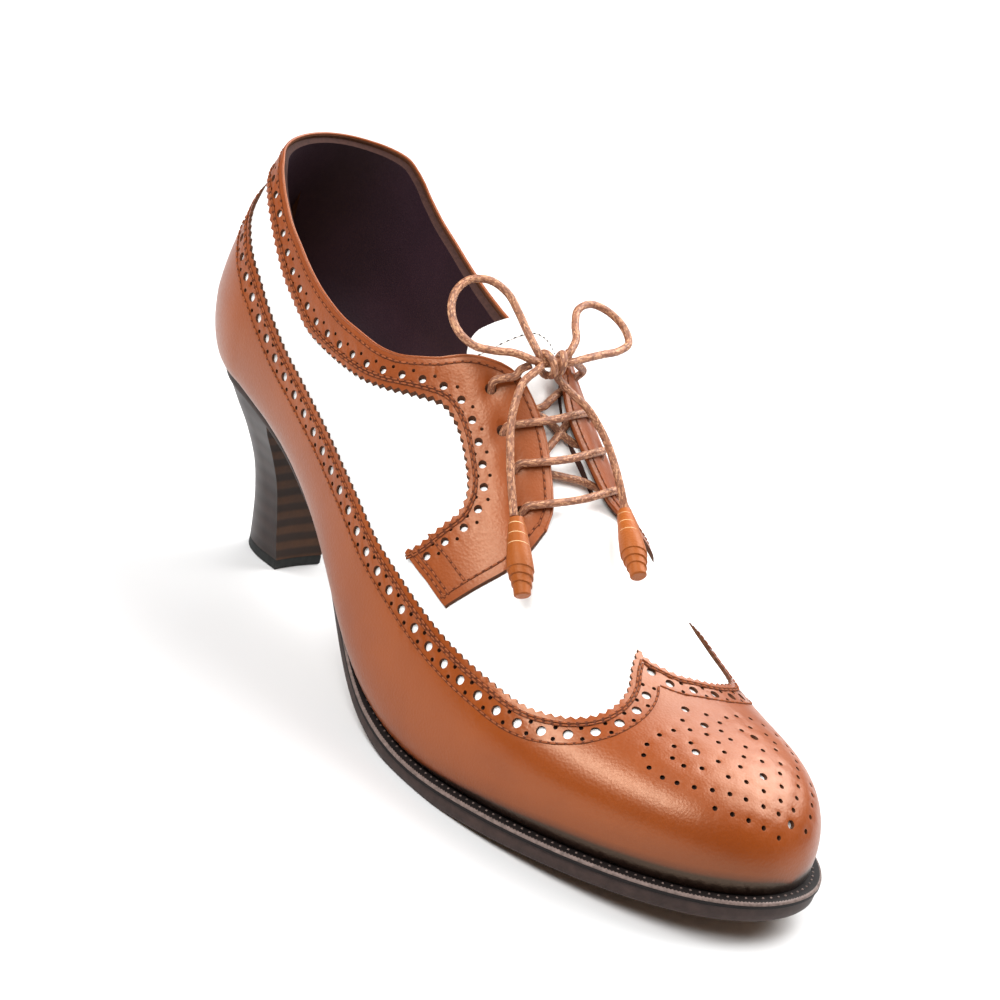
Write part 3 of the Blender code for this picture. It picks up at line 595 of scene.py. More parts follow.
def frames(flat):
    """Surface vectors along a and v at flat places."""
    step = 0.2
    a, v = np.clip(flat[:, 0], step - HEEL_ARC, TIP_A - step), flat[:, 1]
    along = (place(a + step, v, 1.0) - place(a - step, v, 1.0)) / (2 * step)
    across = (place(a, v + step, 1.0) - place(a, v - step, 1.0)) / (2 * step)
    return along, across


def offset(flat, distance):
    """Move a flat line sideways by a distance on the surface: positive to the left of its run."""
    along, across = frames(flat)
    e, f, g = (along ** 2).sum(1), (along * across).sum(1), (across ** 2).sum(1)
    run = np.gradient(flat, axis=0)
    normal = np.stack([-(f * run[:, 0] + g * run[:, 1]), e * run[:, 0] + f * run[:, 1]], 1)
    size = np.sqrt(e * normal[:, 0] ** 2 + 2 * f * normal[:, 0] * normal[:, 1] + g * normal[:, 1] ** 2)
    moved = flat + normal / np.maximum(size, 1e-9)[:, None] * np.asarray(distance).reshape(-1, 1)
    moved[:, 0] = np.maximum(moved[:, 0], -HEEL_ARC)
    return moved


def hole_rim(centre, radius, count):
    """A loop of flat places that is round on the surface."""
    along, across = (q[0] for q in frames(np.array([centre])))
    metric = np.array([[along @ along, along @ across], [along @ across, across @ across]])
    values, vectors = np.linalg.eigh(metric)
    spread = vectors @ np.diag(1 / np.sqrt(values)) @ vectors.T
    turn = angles(count)
    return np.asarray(centre) + radius * np.stack([np.cos(turn), np.sin(turn)], 1) @ spread


def inside(points, outline):
    x0, y0 = outline.T
    x1, y1 = np.roll(outline, -1, 0).T
    slope = (x1 - x0) / np.where(y1 == y0, 1e-9, y1 - y0)
    chunk = 1500
    result = []
    for start in range(0, len(points), chunk):
        x, y = points[start:start + chunk, :1], points[start:start + chunk, 1:]
        crossing = ((y0 > y) != (y1 > y)) & (x < slope * (y - y0) + x0)
        result.append(crossing.sum(1) % 2 == 1)
    return np.concatenate(result)


def rounds(centre, one, two, count, size=1.0):
    """Rings of points about centres; one and two are the half axes of each ring."""
    turn = angles(count)[:, None]
    return centre[:, None] + size * (one[:, None] * np.cos(turn) + two[:, None] * np.sin(turn))


def loft(rings, closed=True, caps=0):
    """Points and faces between rows of points; caps of +1 or -1 closes the ends, either way round."""
    rings = np.asarray(rings)
    count, size = rings.shape[:2]
    faces = []
    for i in range(count - 1):
        for k in range(size if closed else size - 1):
            n = (k + 1) % size
            faces.append((i * size + k, i * size + n, (i + 1) * size + n, (i + 1) * size + k))
    if caps:
        faces.append(tuple(range(size))[::caps])
        faces.append(tuple(range((count - 1) * size, count * size))[::-caps])
    return rings.reshape(-1, 3), faces


def join(parts):
    """One set of points and faces from several."""
    points, faces = [], []
    for more, more_faces in parts:
        start = len(points)
        points += list(more)
        faces += [tuple(start + i for i in face) for face in more_faces]
    return points, faces


def metres(points):
    return (np.asarray(points) - ORIGIN) * METRE


def add_mesh(name, points, faces, finishes, chosen=None, sharp=40.0):
    """A mesh piece from points in millimetres."""
    mesh = bpy.data.meshes.new(name)
    mesh.from_pydata(metres(points), [], faces)
    for finish in finishes:
        mesh.materials.append(finish)
    if chosen is not None:
        mesh.polygons.foreach_set("material_index", np.asarray(chosen, dtype=np.int32))
    mesh.shade_smooth()
    mesh.set_sharp_from_angle(angle=math.radians(sharp))
    mesh.update()
    made = bpy.data.objects.new(name, mesh)
    bpy.context.scene.collection.objects.link(made)
    return made


def settle(piece, slot, *nodes):
    """Ride on the shoe and stand for the solids named. The slot is not used."""
    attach(piece, "root")
    if nodes:
        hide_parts(*nodes)
    return piece


def make_panel(name, outline, holes, low, high, spacing, finishes):
    """A leather sheet on the last, inside a flat outline, with punched holes.

    finishes are those of the face, the cut edge and the underside.
    """
    loops = [outline] + holes
    rim_points = np.concatenate(loops)
    tree = search_tree(np.pad(rim_points, ((0, 0), (0, 1))))
    (low_a, low_v), (high_a, high_v) = outline.min(0), outline.max(0)
    fill = []
    for i, v in enumerate(np.arange(low_v, high_v, spacing * ROW_SHARE)):
        run = np.arange(low_a + (i % 2) * spacing / 2, high_a, spacing)
        fill.append(np.stack([run, np.full(len(run), v)], 1))
    fill = np.concatenate(fill)
    fill = fill[inside(fill, outline)]
    for rim in holes:
        centre = rim.mean(0)
        reach = np.linalg.norm(rim - centre, axis=1).max()
        fill = fill[np.linalg.norm(fill - centre, axis=1) > reach * HOLE_ROOM]
    fill = fill[[tree.find((a, v, 0))[2] > RIM_ROOM * spacing for a, v in fill]]
    bounds = np.cumsum([0] + [len(loop) for loop in loops])
    rings = [list(range(start, end)) for start, end in zip(bounds, bounds[1:])]
    flat = np.concatenate([rim_points, fill])
    places, _, faces, *_ = delaunay_2d_cdt([Vector(p) for p in flat], [], rings, 2, 1e-5)
    places = np.array([tuple(p) for p in places])
    used = set()
    for face in faces:
        used.update(zip(face, face[1:] + face[:1]))
    rim = [(i, j) for i, j in used if (j, i) not in used]
    total = len(places)
    top = np.full(total, float(high))
    top[sorted({i for pair in rim for i in pair})] -= EDGE_DROP
    points = np.concatenate([place(*places.T, top), place(*places.T, low)])
    sheets = [tuple(face) for face in faces]
    under = [tuple(i + total for i in reversed(face)) for face in faces]
    walls = [(j, i, i + total, j + total) for i, j in rim]
    chosen = [0] * len(sheets) + [2] * len(under) + [1] * len(walls)
    made = add_mesh(name, points, sheets + under + walls, finishes, chosen)
    # The map's height is the mask of the painted shade over the welt: 0 at the welt, 1 higher up
    height = girth_at(places[:, 1], places[:, 0]) - np.abs(places[:, 1])
    shade = height / (WELT_SHADE_FADE * np.interp(places[:, 0], WELT_SHADE_PLACES, WELT_SHADE_HEIGHTS))
    corner = np.zeros(len(made.data.loops), np.int32)
    made.data.loops.foreach_get("vertex_index", corner)
    uv = np.stack([places[:, 0] / TIP_A, np.clip(shade, 0, 1)], 1)[corner % total]
    made.data.uv_layers.new(name="map").data.foreach_set("uv", uv.ravel())
    return made


def pinked(flat, outward):
    """A saw-toothed edge along a flat line; outward is +1 or -1, the side its teeth point to."""
    steps = len(TOOTH_WAVE)
    fine = resample(flat, TOOTH_PITCH / steps)
    count = (len(fine) - 1) // steps * steps
    fine = resample(flat, lengths(flat)[-1] / count)
    wave = np.resize(TOOTH_WAVE, len(fine))
    return offset(fine, outward * TOOTH_DEPTH * wave)


def border_holes(flat, inward, distance, pitch, big, small, ends):
    """Big holes along an edge with a pair of small ones midway between them: big loops, small loops."""
    row = offset(flat, inward * distance)
    total = lengths(row)[-1]
    count = round(total / pitch)
    numbers = np.arange(count + 1)
    big_places = along_line(row, numbers[ends[0]:count + 1 - ends[1]] * total / count)
    fine = along_line(row, np.linspace(0, total, PAIR_STEPS * count + 1))
    middle = PAIR_STEPS * numbers[ends[0]:count - ends[1]] + PAIR_STEPS // 2
    pairs = np.concatenate([offset(fine, across)[middle] for across in (PAIR_REACH, -PAIR_REACH)])
    return [hole_rim(p, big, BIG_SIDES) for p in big_places], [hole_rim(p, small, SMALL_SIDES) for p in pairs]


def ribbon(rows, grow, half_width):
    """Flat strips along flat lines: points and faces."""
    strips = []
    for line in rows:
        edges = [place(*offset(line, side * half_width).T, grow) for side in (1, -1)]
        strips.append(loft(edges, closed=False))
    return join(strips)


def stitches(rows, grow, pitch, length, radius):
    """Threads along flat lines: points and faces."""
    shares, sizes = np.array(STITCH_SHARES).T[:, :, None]
    threads = []
    for line in rows:
        spots = resample(line, pitch)
        spots = (spots[1:] + spots[:-1]) / 2
        centre = place(*spots.T, grow)
        lift = unit(np.cross(*frames(spots)))
        run = unit(np.gradient(centre, axis=0))
        side = np.cross(lift, run)
        outward = np.sign((lift * (place(*spots.T, grow + 1) - centre)).sum(1))[:, None] * lift
        for c, r, s, u in zip(centre, run, side, outward):
            rings = rounds(c + r * shares * length, sizes * s, sizes * STITCH_FLAT * u, STITCH_RING, radius)
            threads.append(loft(rings, caps=-1))
    return join(threads)


def sewn(name, rows, grow, finishes, pitch=2.0, length=1.5, radius=0.24, groove=0.3):
    """Rows of stitches over darker strips of painted groove shade, as one piece."""
    bed = ribbon([resample(line, 1.0) for line in rows], grow + GROOVE_LIFT, groove)
    threads = stitches(rows, grow + THREAD_LIFT, pitch, length, radius)
    chosen = [1] * len(bed[1]) + [0] * len(threads[1])
    return add_mesh(name, *join([bed, threads]), finishes, chosen)


# Materials


def finish_nodes(name, settings):
    """A new material with values set on its shader: material, node tree and shader."""
    made = bpy.data.materials.new(name)
    made.use_nodes = True
    shader = made.node_tree.nodes["Principled BSDF"]
    for key, value in settings.items():
        shader.inputs[key].default_value = value
    return made, made.node_tree, shader


def texture(tree, kind, scale, **settings):
    """A texture on the shoe's own coordinates."""
    where = tree.nodes.new("ShaderNodeTexCoord")
    made = tree.nodes.new("ShaderNodeTex" + kind)
    tree.links.new(where.outputs["Object"], made.inputs["Vector"])
    made.inputs["Scale"].default_value = scale
    for key, value in settings.items():
        if key in made.inputs:
            made.inputs[key].default_value = value
        else:
            setattr(made, key, value)
    return made


def ramp(tree, source, stops):
    """Colour output of a ramp over a value."""
    made = tree.nodes.new("ShaderNodeValToRGB")
    while len(made.color_ramp.elements) < len(stops):
        made.color_ramp.elements.new(0.5)
    for element, (position, colour) in zip(made.color_ramp.elements, stops):
        element.position = position
        element.color = (*colour, 1.0)
    tree.links.new(source, made.inputs["Fac"])
    return made.outputs["Color"]


MIX_INPUTS = (6, 7)
MIX_OUTPUT = 2


def multiply(tree, one, two):
    """Colour output of two colours multiplied."""
    made = tree.nodes.new("ShaderNodeMix")
    made.data_type = "RGBA"
    made.blend_type = "MULTIPLY"
    made.inputs["Factor"].default_value = 1.0
    for source, number in zip((one, two), MIX_INPUTS):
        tree.links.new(source, made.inputs[number])
    return made.outputs[MIX_OUTPUT]


def node_sum(tree, kind, one, two):
    """Output of a sum or product of a value and a value or number."""
    made = tree.nodes.new("ShaderNodeMath")
    made.operation = kind
    tree.links.new(one, made.inputs[0])
    if isinstance(two, float):
        made.inputs[1].default_value = two
    else:
        tree.links.new(two, made.inputs[1])
    return made.outputs[0]


def add_bump(tree, shader, heights, strength, distance):
    """Bump from a sum of weighted heights."""
    total = None
    for socket, weight in heights:
        scaled = node_sum(tree, "MULTIPLY", socket, weight)
        total = scaled if total is None else node_sum(tree, "ADD", total, scaled)
    made = tree.nodes.new("ShaderNodeBump")
    made.inputs["Strength"].default_value = strength
    made.inputs["Distance"].default_value = distance
    tree.links.new(total, made.inputs["Height"])
    tree.links.new(made.outputs["Normal"], shader.inputs["Normal"])


def linear(r, g, b):
    """Linear colour of an 8-bit one."""
    return tuple((c / 255 / 12.92) if c / 255 <= 0.04045 else ((c / 255 + 0.055) / 1.055) ** 2.4
                 for c in (r, g, b))


def leather(name, dark, middle, light, rough, grain=0.5, shine=0.4, tint=(1.0, 1.0, 1.0), painted_welt_shade=()):
    """Smooth calf: cloudy colour, pores, soft gloss, and painted shade over the welt that fades out over the
    map's height.
    """
    made, tree, shader = finish_nodes(name, {"Specular IOR Level": shine, "Specular Tint": (*tint, 1.0)})
    cloud = texture(tree, "Noise", 38.0, Detail=3.0, Roughness=0.55)
    tones = zip((0.30, 0.52, 0.75), (linear(*tone) for tone in (dark, middle, light)))
    colour = ramp(tree, cloud.outputs["Fac"], tuple(tones))
    # Painted shade of the undercut over the welt, multiplied into the colour along the map's height
    if painted_welt_shade:
        where = tree.nodes.new("ShaderNodeTexCoord")
        split = tree.nodes.new("ShaderNodeSeparateXYZ")
        tree.links.new(where.outputs["UV"], split.inputs["Vector"])
        colour = multiply(tree, colour, ramp(tree, split.outputs["Y"], painted_welt_shade))
    tree.links.new(colour, shader.inputs["Base Color"])
    pores = texture(tree, "Voronoi", 1500.0, Randomness=1.0)
    wrinkle = texture(tree, "Noise", 1100.0, Detail=4.0, Roughness=0.6)
    gloss = ramp(tree, wrinkle.outputs["Fac"], ((0.2, (rough - 0.06,) * 3), (0.8, (rough + 0.08,) * 3)))
    tree.links.new(gloss, shader.inputs["Roughness"])
    add_bump(tree, shader, ((pores.outputs["Distance"], 0.7), (wrinkle.outputs["Fac"], 0.45)), grain, 0.0001)
    return made


def plain(name, colour, rough, scale=900.0, strength=0.3, spread=0.25):
    """A quiet surface with a fine mottle."""
    made, tree, shader = finish_nodes(name, {"Roughness": rough, "Specular IOR Level": 0.22})
    mottle = texture(tree, "Noise", scale, Detail=4.0, Roughness=0.6).outputs["Fac"]
    low, high = (tuple(min(1.0, c * (1 + q)) for c in linear(*colour)) for q in (-spread, spread))
    tree.links.new(ramp(tree, mottle, ((0.3, low), (0.7, high))), shader.inputs["Base Color"])
    add_bump(tree, shader, ((mottle, 1.0),), strength, 0.0002)
    return made


def stacked(name, dark, light, rough, contrast):
    """Leather lifts: level stripes with worn streaks."""
    made, tree, shader = finish_nodes(name, {"Roughness": rough, "Specular IOR Level": 0.25})
    lifts = texture(tree, "Wave", 62.0, wave_type="BANDS", bands_direction="Z", Distortion=0.6, Detail=2.0)
    lifts = lifts.outputs["Fac"]
    streak = texture(tree, "Noise", 260.0, Detail=5.0, Roughness=0.65).outputs["Fac"]
    stripes = ramp(tree, lifts, ((0.5 - contrast / 2, linear(*dark)), (0.5 + contrast / 2, linear(*light))))
    worn = ramp(tree, streak, ((0.25, (0.62, 0.62, 0.62)), (0.8, (1.0, 1.0, 1.0))))
    tree.links.new(multiply(tree, stripes, worn), shader.inputs["Base Color"])
    add_bump(tree, shader, ((lifts, 0.6), (streak, 0.4)), 0.35, 0.0003)
    return made


def braid(name):
    """Round waxed braid: crossing strands with pale flecks, laid out on the cord's own map."""
    made, tree, shader = finish_nodes(name, {"Roughness": 0.55})
    where = tree.nodes.new("ShaderNodeTexCoord")
    flecks = tree.nodes.new("ShaderNodeTexVoronoi")
    flecks.inputs["Scale"].default_value = 1.0
    stretch = tree.nodes.new("ShaderNodeMapping")
    stretch.inputs["Scale"].default_value = (20.0, 9.0, 1.0)
    stretch.inputs["Rotation"].default_value = (0.0, 0.0, math.radians(35))
    tree.links.new(where.outputs["UV"], stretch.inputs["Vector"])
    tree.links.new(stretch.outputs["Vector"], flecks.inputs["Vector"])
    tones = ((0.2, linear(112, 68, 46)), (0.55, linear(146, 94, 66)), (0.9, linear(198, 148, 110)))
    tree.links.new(ramp(tree, flecks.outputs["Color"], tones), shader.inputs["Base Color"])
    return made


WHITE = leather("white_calf", (246, 246, 243), (250, 250, 248), (252, 252, 251), 0.45, 0.35)
TONGUE_WHITE = leather("tongue_calf", (238, 236, 232), (246, 244, 241), (249, 248, 246), 0.46, 0.4)
# Painted shade over the welt: near black at the welt, fading to the leather's own colour higher up
WELT_SHADE_RAMP = ((0.0, (0.02, 0.015, 0.015)), (0.19, (0.03, 0.02, 0.02)), (0.235, (0.45, 0.38, 0.34)),
           (0.31, (0.78, 0.75, 0.72)), (0.55, (0.94, 0.93, 0.92)), (1.0, (1.0, 1.0, 1.0)))
WARM = (1.0, 0.72, 0.52)
# The wing's tan calf carries the painted shade over the welt
TAN = leather("tan_calf", (122, 52, 8), (129, 57, 10), (136, 62, 13), 0.34, 0.4, 0.75, WARM, WELT_SHADE_RAMP)
FACING_TAN = leather("facing_calf", (122, 55, 18), (131, 61, 22), (140, 67, 26), 0.38, 0.5, 0.7, WARM)
RAW_EDGE = plain("raw_edge", (78, 45, 27), 0.8)
# Dark brown: the tongue's thread, and painted shade at the bottom of the small holes
DARK_THREAD_AND_HOLE_SHADE = plain("dark_thread_and_hole_shade", (38, 22, 16), 0.8)
THREAD = plain("tan_thread", (136, 72, 38), 0.75)
# Darker strips along the stitch rows: painted shade of the stitch grooves, on tan and on white leather
TAN_GROOVE_SHADE = plain("stitch_groove_shade", (84, 40, 20), 0.8)
WHITE_GROOVE_SHADE = plain("white_groove_shade", (172, 166, 158), 0.7)
LINING = leather("plum_lining", (40, 24, 32), (48, 29, 38), (56, 34, 44), 0.55, 0.5)
RIM = plain("collar_rim", (58, 34, 28), 0.8)
SOCK = leather("sock", (176, 126, 84), (190, 140, 96), (202, 152, 108), 0.5, 0.4)
WELT = plain("welt_dark", (22, 16, 15), 0.6, 500.0, 0.4, 0.35)
WELT_LIP = plain("welt_lip", (108, 92, 86), 0.5, 900.0, 0.6, 0.4)
SOLE_EDGE = plain("sole_edge", (56, 42, 38), 0.55, 300.0, 0.35, 0.3)
SOLE_FLOOR = plain("sole_floor", (120, 88, 62), 0.6, 260.0, 0.3, 0.2)
STACK = stacked("stack_side", (44, 29, 25), (52, 35, 30), 0.45, 0.7)
BREAST = stacked("stack_breast", (46, 27, 15), (78, 48, 26), 0.6, 0.5)
RUBBER = plain("black_rubber", (34, 35, 34), 0.6, 700.0, 0.4, 0.3)
LACE = braid("waxed_braid")
TIP = leather("tip_leather", (128, 62, 16), (144, 73, 22), (158, 84, 30), 0.5, 0.8, 0.4, WARM)
TIP_EDGE = plain("tip_raw_edge", (226, 196, 150), 0.7)


# Upper: shell, lining, tongue


def top_curve(side):
    return smooth(COLLAR + THROAT[side], 2.0)


def dip(a, v):
    """How far the vamp sinks under the facings, where it runs on into the tongue."""
    half = DIP_HALF + DIP_FLARE * np.clip(a - DIP_FLARE_START, 0, DIP_FLARE_RUN)
    wide = fade(DIP_SOFT - np.abs(v - DIP_MIDDLE) / half, 0, 1)
    return -DIP * fade(a, DIP_END, SLOT_END) * wide


def make_upper():
    along = stations((-HEEL_ARC, 0, SLOT_END, SLOT_END + SLOT_STEP, TOE_A, TIP_A), (30, 90, 2, 32, 60))
    last_open = int(np.sum(along <= SLOT_END))
    even = np.linspace(0, 1, 49)
    rows = (even + np.sin(even * math.pi / 2)) / 2
    points, faces, chosen = [], [], []
    for side in (-1, 1):
        tops = np.interp(along, *top_curve(side).T) - TOP_DROP
        tops[along > SLOT_END] = 1.0
        v = side * (1 - rows * tops[:, None]) * np.interp(along, GIRTH_A, GIRTHS[side])[:, None]
        a = np.broadcast_to(along[:, None], v.shape)
        grids = []
        for layer, grow in enumerate((0.0, -WALL)):
            grid = len(points) + np.arange(v.size).reshape(v.shape)
            points.extend(place(a, v, grow + dip(a, v)))
            quads = np.stack([grid[:-1, :-1], grid[:-1, 1:], grid[1:, 1:], grid[1:, :-1]], 2).reshape(-1, 4)
            faces += (quads if (layer == 0) == (side < 0) else quads[:, ::-1]).tolist()
            chosen += [layer] * len(quads)
            grids.append(grid)
        for row, end in ((0, len(along)), (-1, last_open)):
            outer, inner = (grid[:end, row] for grid in grids)
            faces += np.stack([outer[:-1], outer[1:], inner[1:], inner[:-1]], 1).tolist()
            chosen += [2] * (end - 1)
    made = add_mesh("upper_shell", points, faces, (WHITE, LINING, RIM), chosen)
    settle(made, "white_leather", "upper")


def make_tongue():
    edge = smooth(TONGUE, 1.2)
    edge = edge[edge[:, 0] <= TONGUE_END]
    outline = np.concatenate([edge * (1, -1), edge[::-1]])
    finishes = (TONGUE_WHITE, WHITE, LINING)
    made = make_panel("tongue_leather", outline, [], TONGUE_LOW, TONGUE_HIGH, TONGUE_STEP, finishes)
    settle(made, "tongue_leather", "tongue")
    reach = np.linspace(-TONGUE_ROW_HALF, TONGUE_ROW_HALF, 30)
    row = np.stack([TONGUE_ROW - TONGUE_ROW_BOW * reach ** 2, reach], 1)
    made = sewn("tongue_stitches", [row], TONGUE_HIGH, (DARK_THREAD_AND_HOLE_SHADE, WHITE_GROOVE_SHADE), 2.2, 0.8, 0.14, 0.1)
    settle(made, "tongue_leather")


# Overlays


def wing_edge():
    """The wing's pinked edge from the lateral back seam over the peak to the medial back seam."""
    lateral = flat_curve(-1, WING_SIDE + WING_FRONT[-1])
    medial = flat_curve(1, WING_SIDE + WING_FRONT[1])
    peak = flat_line(-1, WING_PEAK)
    return lateral, np.concatenate([smooth(peak[::-1], LINE_STEP), medial[::-1]])


def medallion():
    axis_a, axis_v = np.array(MEDALLION_AXIS).T

    def at(a, reach):
        return (a, np.interp(a, axis_a, axis_v) + reach)

    big = [at(a, 0) for a in MEDALLION_BIG_AXIS]
    big += [at(a, s * reach) for a, reach in MEDALLION_BIG_PAIR for s in (-1, 1)]
    small = [at(a, 0) for a in MEDALLION_AXIS_HOLES]
    small += [at(a, s * reach) for a, reach in MEDALLION_PAIRS for s in (-1, 1)]
    return ([hole_rim(p, TOE_BIG_HOLE, TOE_BIG_SIDES) for p in big],
            [hole_rim(p, TOE_SMALL_HOLE, SMALL_SIDES) for p in small])


def painted_hole_shade(name, rims):
    """Dark discs under the small holes: painted shade at the bottom of each hole."""
    parts = []
    for rim in rims:
        wide = rim.mean(0) + (rim - rim.mean(0)) * HOLE_SHADE_SPREAD
        parts.append((place(*wide.T, HOLE_SHADE_LIFT), [range(len(rim))]))
    return add_mesh(name, *join(parts), (DARK_THREAD_AND_HOLE_SHADE,))


def spread_from(flat, line):
    """Distance on the surface from each flat place to the nearest point of a flat line."""
    tree = search_tree(place(*line.T, 1.0))
    return np.array([tree.find(point)[2] for point in place(*flat.T, 1.0)])


def make_wing():
    lateral, medial = wing_edge()
    feather_a = stations((-HEEL_ARC + FEATHER_BACK, 0, TOE_A, TIP_A - FEATHER_TIP), (40, 90, 70))
    feather = np.stack([feather_a, np.full(len(feather_a), FEATHER_SHARE)], 1)
    outline = np.concatenate([pinked(lateral, 1), pinked(medial, 1), flat_line(1, feather),
                              flat_line(-1, feather)[::-1]])
    big, small, rows = [hole_rim(PEAK_HOLE, BIG_HOLE, BIG_SIDES)], [], []
    for edge, other in ((lateral, medial), (medial, lateral)):
        punched = border_holes(edge, -1, WING_HOLES, WING_PITCH, BIG_HOLE, SMALL_HOLE, (1, 1))
        for kept, rims in zip((big, small), punched):
            centres = np.array([rim.mean(0) for rim in rims])
            from_peak = np.linalg.norm(place(*centres.T, 1.0) - place(*PEAK_HOLE, 1.0), axis=1)
            clear = (spread_from(centres, other) > WING_HOLES - HOLE_TRIM) & (from_peak > PEAK_CLEAR)
            kept += [rim for rim, good in zip(rims, clear) if good]
        for distance in WING_ROWS:
            row = resample(offset(edge, -distance), ROW_STEP)
            rows.append(row[spread_from(row, other) > distance - ROW_TRIM])
    toe_big, toe_small = medallion()
    made = make_panel("wing_leather", outline, big + small + toe_big + toe_small, SKIN_LOW, SKIN_HIGH,
                      WING_STEP, (TAN, RAW_EDGE, RAW_EDGE))
    settle(made, "tan_leather", "wing_overlay")
    # Dark discs of painted shade under the small holes
    settle(painted_hole_shade("wing_hole_shade_discs", small + toe_small), "tan_leather")
    settle(sewn("wing_stitches", rows, SKIN_HIGH, (THREAD, TAN_GROOVE_SHADE)), "tan_leather")


def make_facing(side, name):
    top = flat_line(side, top_curve(side))
    front = flat_curve(side, TAIL_FRONT)
    tail = resample(flat_line(side, TAIL_END), 1.2)
    band = flat_curve(side, BAND_LINE)
    outline = np.concatenate([top, front[::-1][1:], tail[::-1][1:], pinked(band, side)[::-1]])
    big, small = border_holes(band, -side, BAND_HOLES, BAND_PITCH, BAND_BIG_HOLE, BAND_SMALL_HOLE, (0, 1))
    for a, lat_reach, med_reach in EYELETS:
        small.append(hole_rim((a, -lat_reach if side < 0 else med_reach), EYE_HOLE, BIG_SIDES))
    made = make_panel(name + "_leather", outline, big + small, SKIN_LOW, FACING_HIGH,
                      FACING_STEP, (FACING_TAN, RAW_EDGE, RAW_EDGE))
    settle(made, "tan_leather", name)
    # Dark discs of painted shade under the small holes and eyelets
    settle(painted_hole_shade(name + "_hole_shade_discs", small), "tan_leather")
    rows = [offset(band, -side * distance) for distance in BAND_ROWS]
    rows.append(offset(top[top[:, 0] > BACK_END], side * TOP_ROW))
    rows.append(offset(front, -side * FRONT_ROW))
    rows += [offset(tail[1:-1], -side * distance) for distance in TAIL_ROWS]
    settle(sewn(name + "_stitches", rows, FACING_HIGH, (THREAD, TAN_GROOVE_SHADE)), "tan_leather")


def make_collar_edge():
    """The folded top edge of the collar and facings, one soft bead from throat to throat."""
    left, right = (resample(flat_line(side, top_curve(side)), 1.0) for side in (-1, 1))
    spots = np.concatenate([left[::-1], right[1:]])
    outer, inner = (place(*spots.T, grow) for grow in (COLLAR_BEAD_OUT, COLLAR_BEAD_IN))
    centre = (outer + inner) / 2
    up = unit(np.cross(unit(np.gradient(centre, axis=0)), outer - inner))
    rings = rounds(centre, (outer - inner) / 2, COLLAR_BEAD_HALF * up, COLLAR_BEAD_SIDES)
    settle(add_mesh("collar_edge", *loft(rings, caps=1), (FACING_TAN,)), "tan_leather")


# Bottom: insole, welt, outsole, heel


def seat_height(x):
    behind = LAST[0, 1] + SEAT_RISE * (HEEL_X - x) / BACK_FEATHER
    ahead = last_columns(np.clip(x, HEEL_X, TIP_X + WELT_LEDGE))[:, 0]
    return np.where(x < HEEL_X, behind, ahead)


def welt_depth(x):
    return WELT_THIN + (WELT_DEPTH - WELT_THIN) * fade(x, *WELT_RUN)


def ledge(x):
    return WAIST_LEDGE + (WELT_LEDGE - WAIST_LEDGE) * fade(x, *LEDGE_RUN)


def sole_top(x):
    return seat_height(x) - GAP - (welt_depth(x) + GAP) * fade(x, *SEAT_RUN)


def sole_bottom(x):
    depth = SEAT_DEPTH + (SOLE_DEPTH - SEAT_DEPTH) * fade(x, *SOLE_RUN)
    return np.maximum(sole_top(x) - depth, 0)


def edge_plan(side, a, grow):
    return sections(side, a, grow)[:, 0, :2]


def rim_route(start_a, spacing):
    """Places round the sole from one side of start_a over the toe to the other side."""
    one = np.concatenate([np.arange(start_a, TOE_A, 0.5), np.linspace(TOE_A, TIP_A, 400)])
    side = np.concatenate([np.full(len(one), -1.0), np.full(len(one) - 1, 1.0)])
    a = np.concatenate([one, one[-2::-1]])
    length = run_lengths(edge_plan(side, a, 2.0))
    goal = np.linspace(0, length[-1], round(length[-1] / spacing))
    picked = np.interp(goal, length, np.arange(len(a)))
    return side[np.round(picked).astype(int)], np.interp(picked, np.arange(len(a)), a)


def make_welt():
    """Welt with its ribbed, wheeled ledge, rounded lip and stitches."""
    side, a = rim_route(WELT_START - HEEL_X, RIB)
    reach = ledge(sections(np.ones(len(a)), a)[:, 0, 0])
    rib = np.where(np.arange(len(a)) % 2 == 0, RIB_HEIGHT, -RIB_HEIGHT)
    rows = []
    for share, height, ribbed in WELT_PROFILE:
        plan = edge_plan(side, a, np.where(share < 0, share, share * reach))
        height = np.where(height < 0, height * welt_depth(plan[:, 0]), height)
        rows.append(np.column_stack([plan, seat_height(plan[:, 0]) - GAP + height + ribbed * rib]))
    points, faces = loft(np.stack(rows, 1), caps=1)
    chosen = [1 if i % len(WELT_PROFILE) in LIP_FACES else 0 for i in range(len(faces))]
    made = add_mesh("welt_ribbed", points, faces, (WELT, WELT_LIP), chosen, 60.0)
    settle(made, "dark_welt", "welt")
    plan = edge_plan(side, a, 0.5 * reach)
    row = np.column_stack([plan, seat_height(plan[:, 0]) - GAP + WELT_STITCH_LIFT])
    x_axis, y_axis, z_axis = np.eye(3)
    heights, sizes = np.array(BEAD_RINGS).T[:, :, None]
    beads = []
    for spot in row[WELT_STITCH // 2::WELT_STITCH]:
        points, faces = loft(rounds(spot + heights * z_axis, sizes * x_axis, sizes * y_axis, BEAD_SIDES))
        beads.append((points, faces + [range(BEAD_SIDES, 2 * BEAD_SIDES)]))
    settle(add_mesh("welt_stitches", *join(beads), (WELT_LIP,)), "dark_welt")


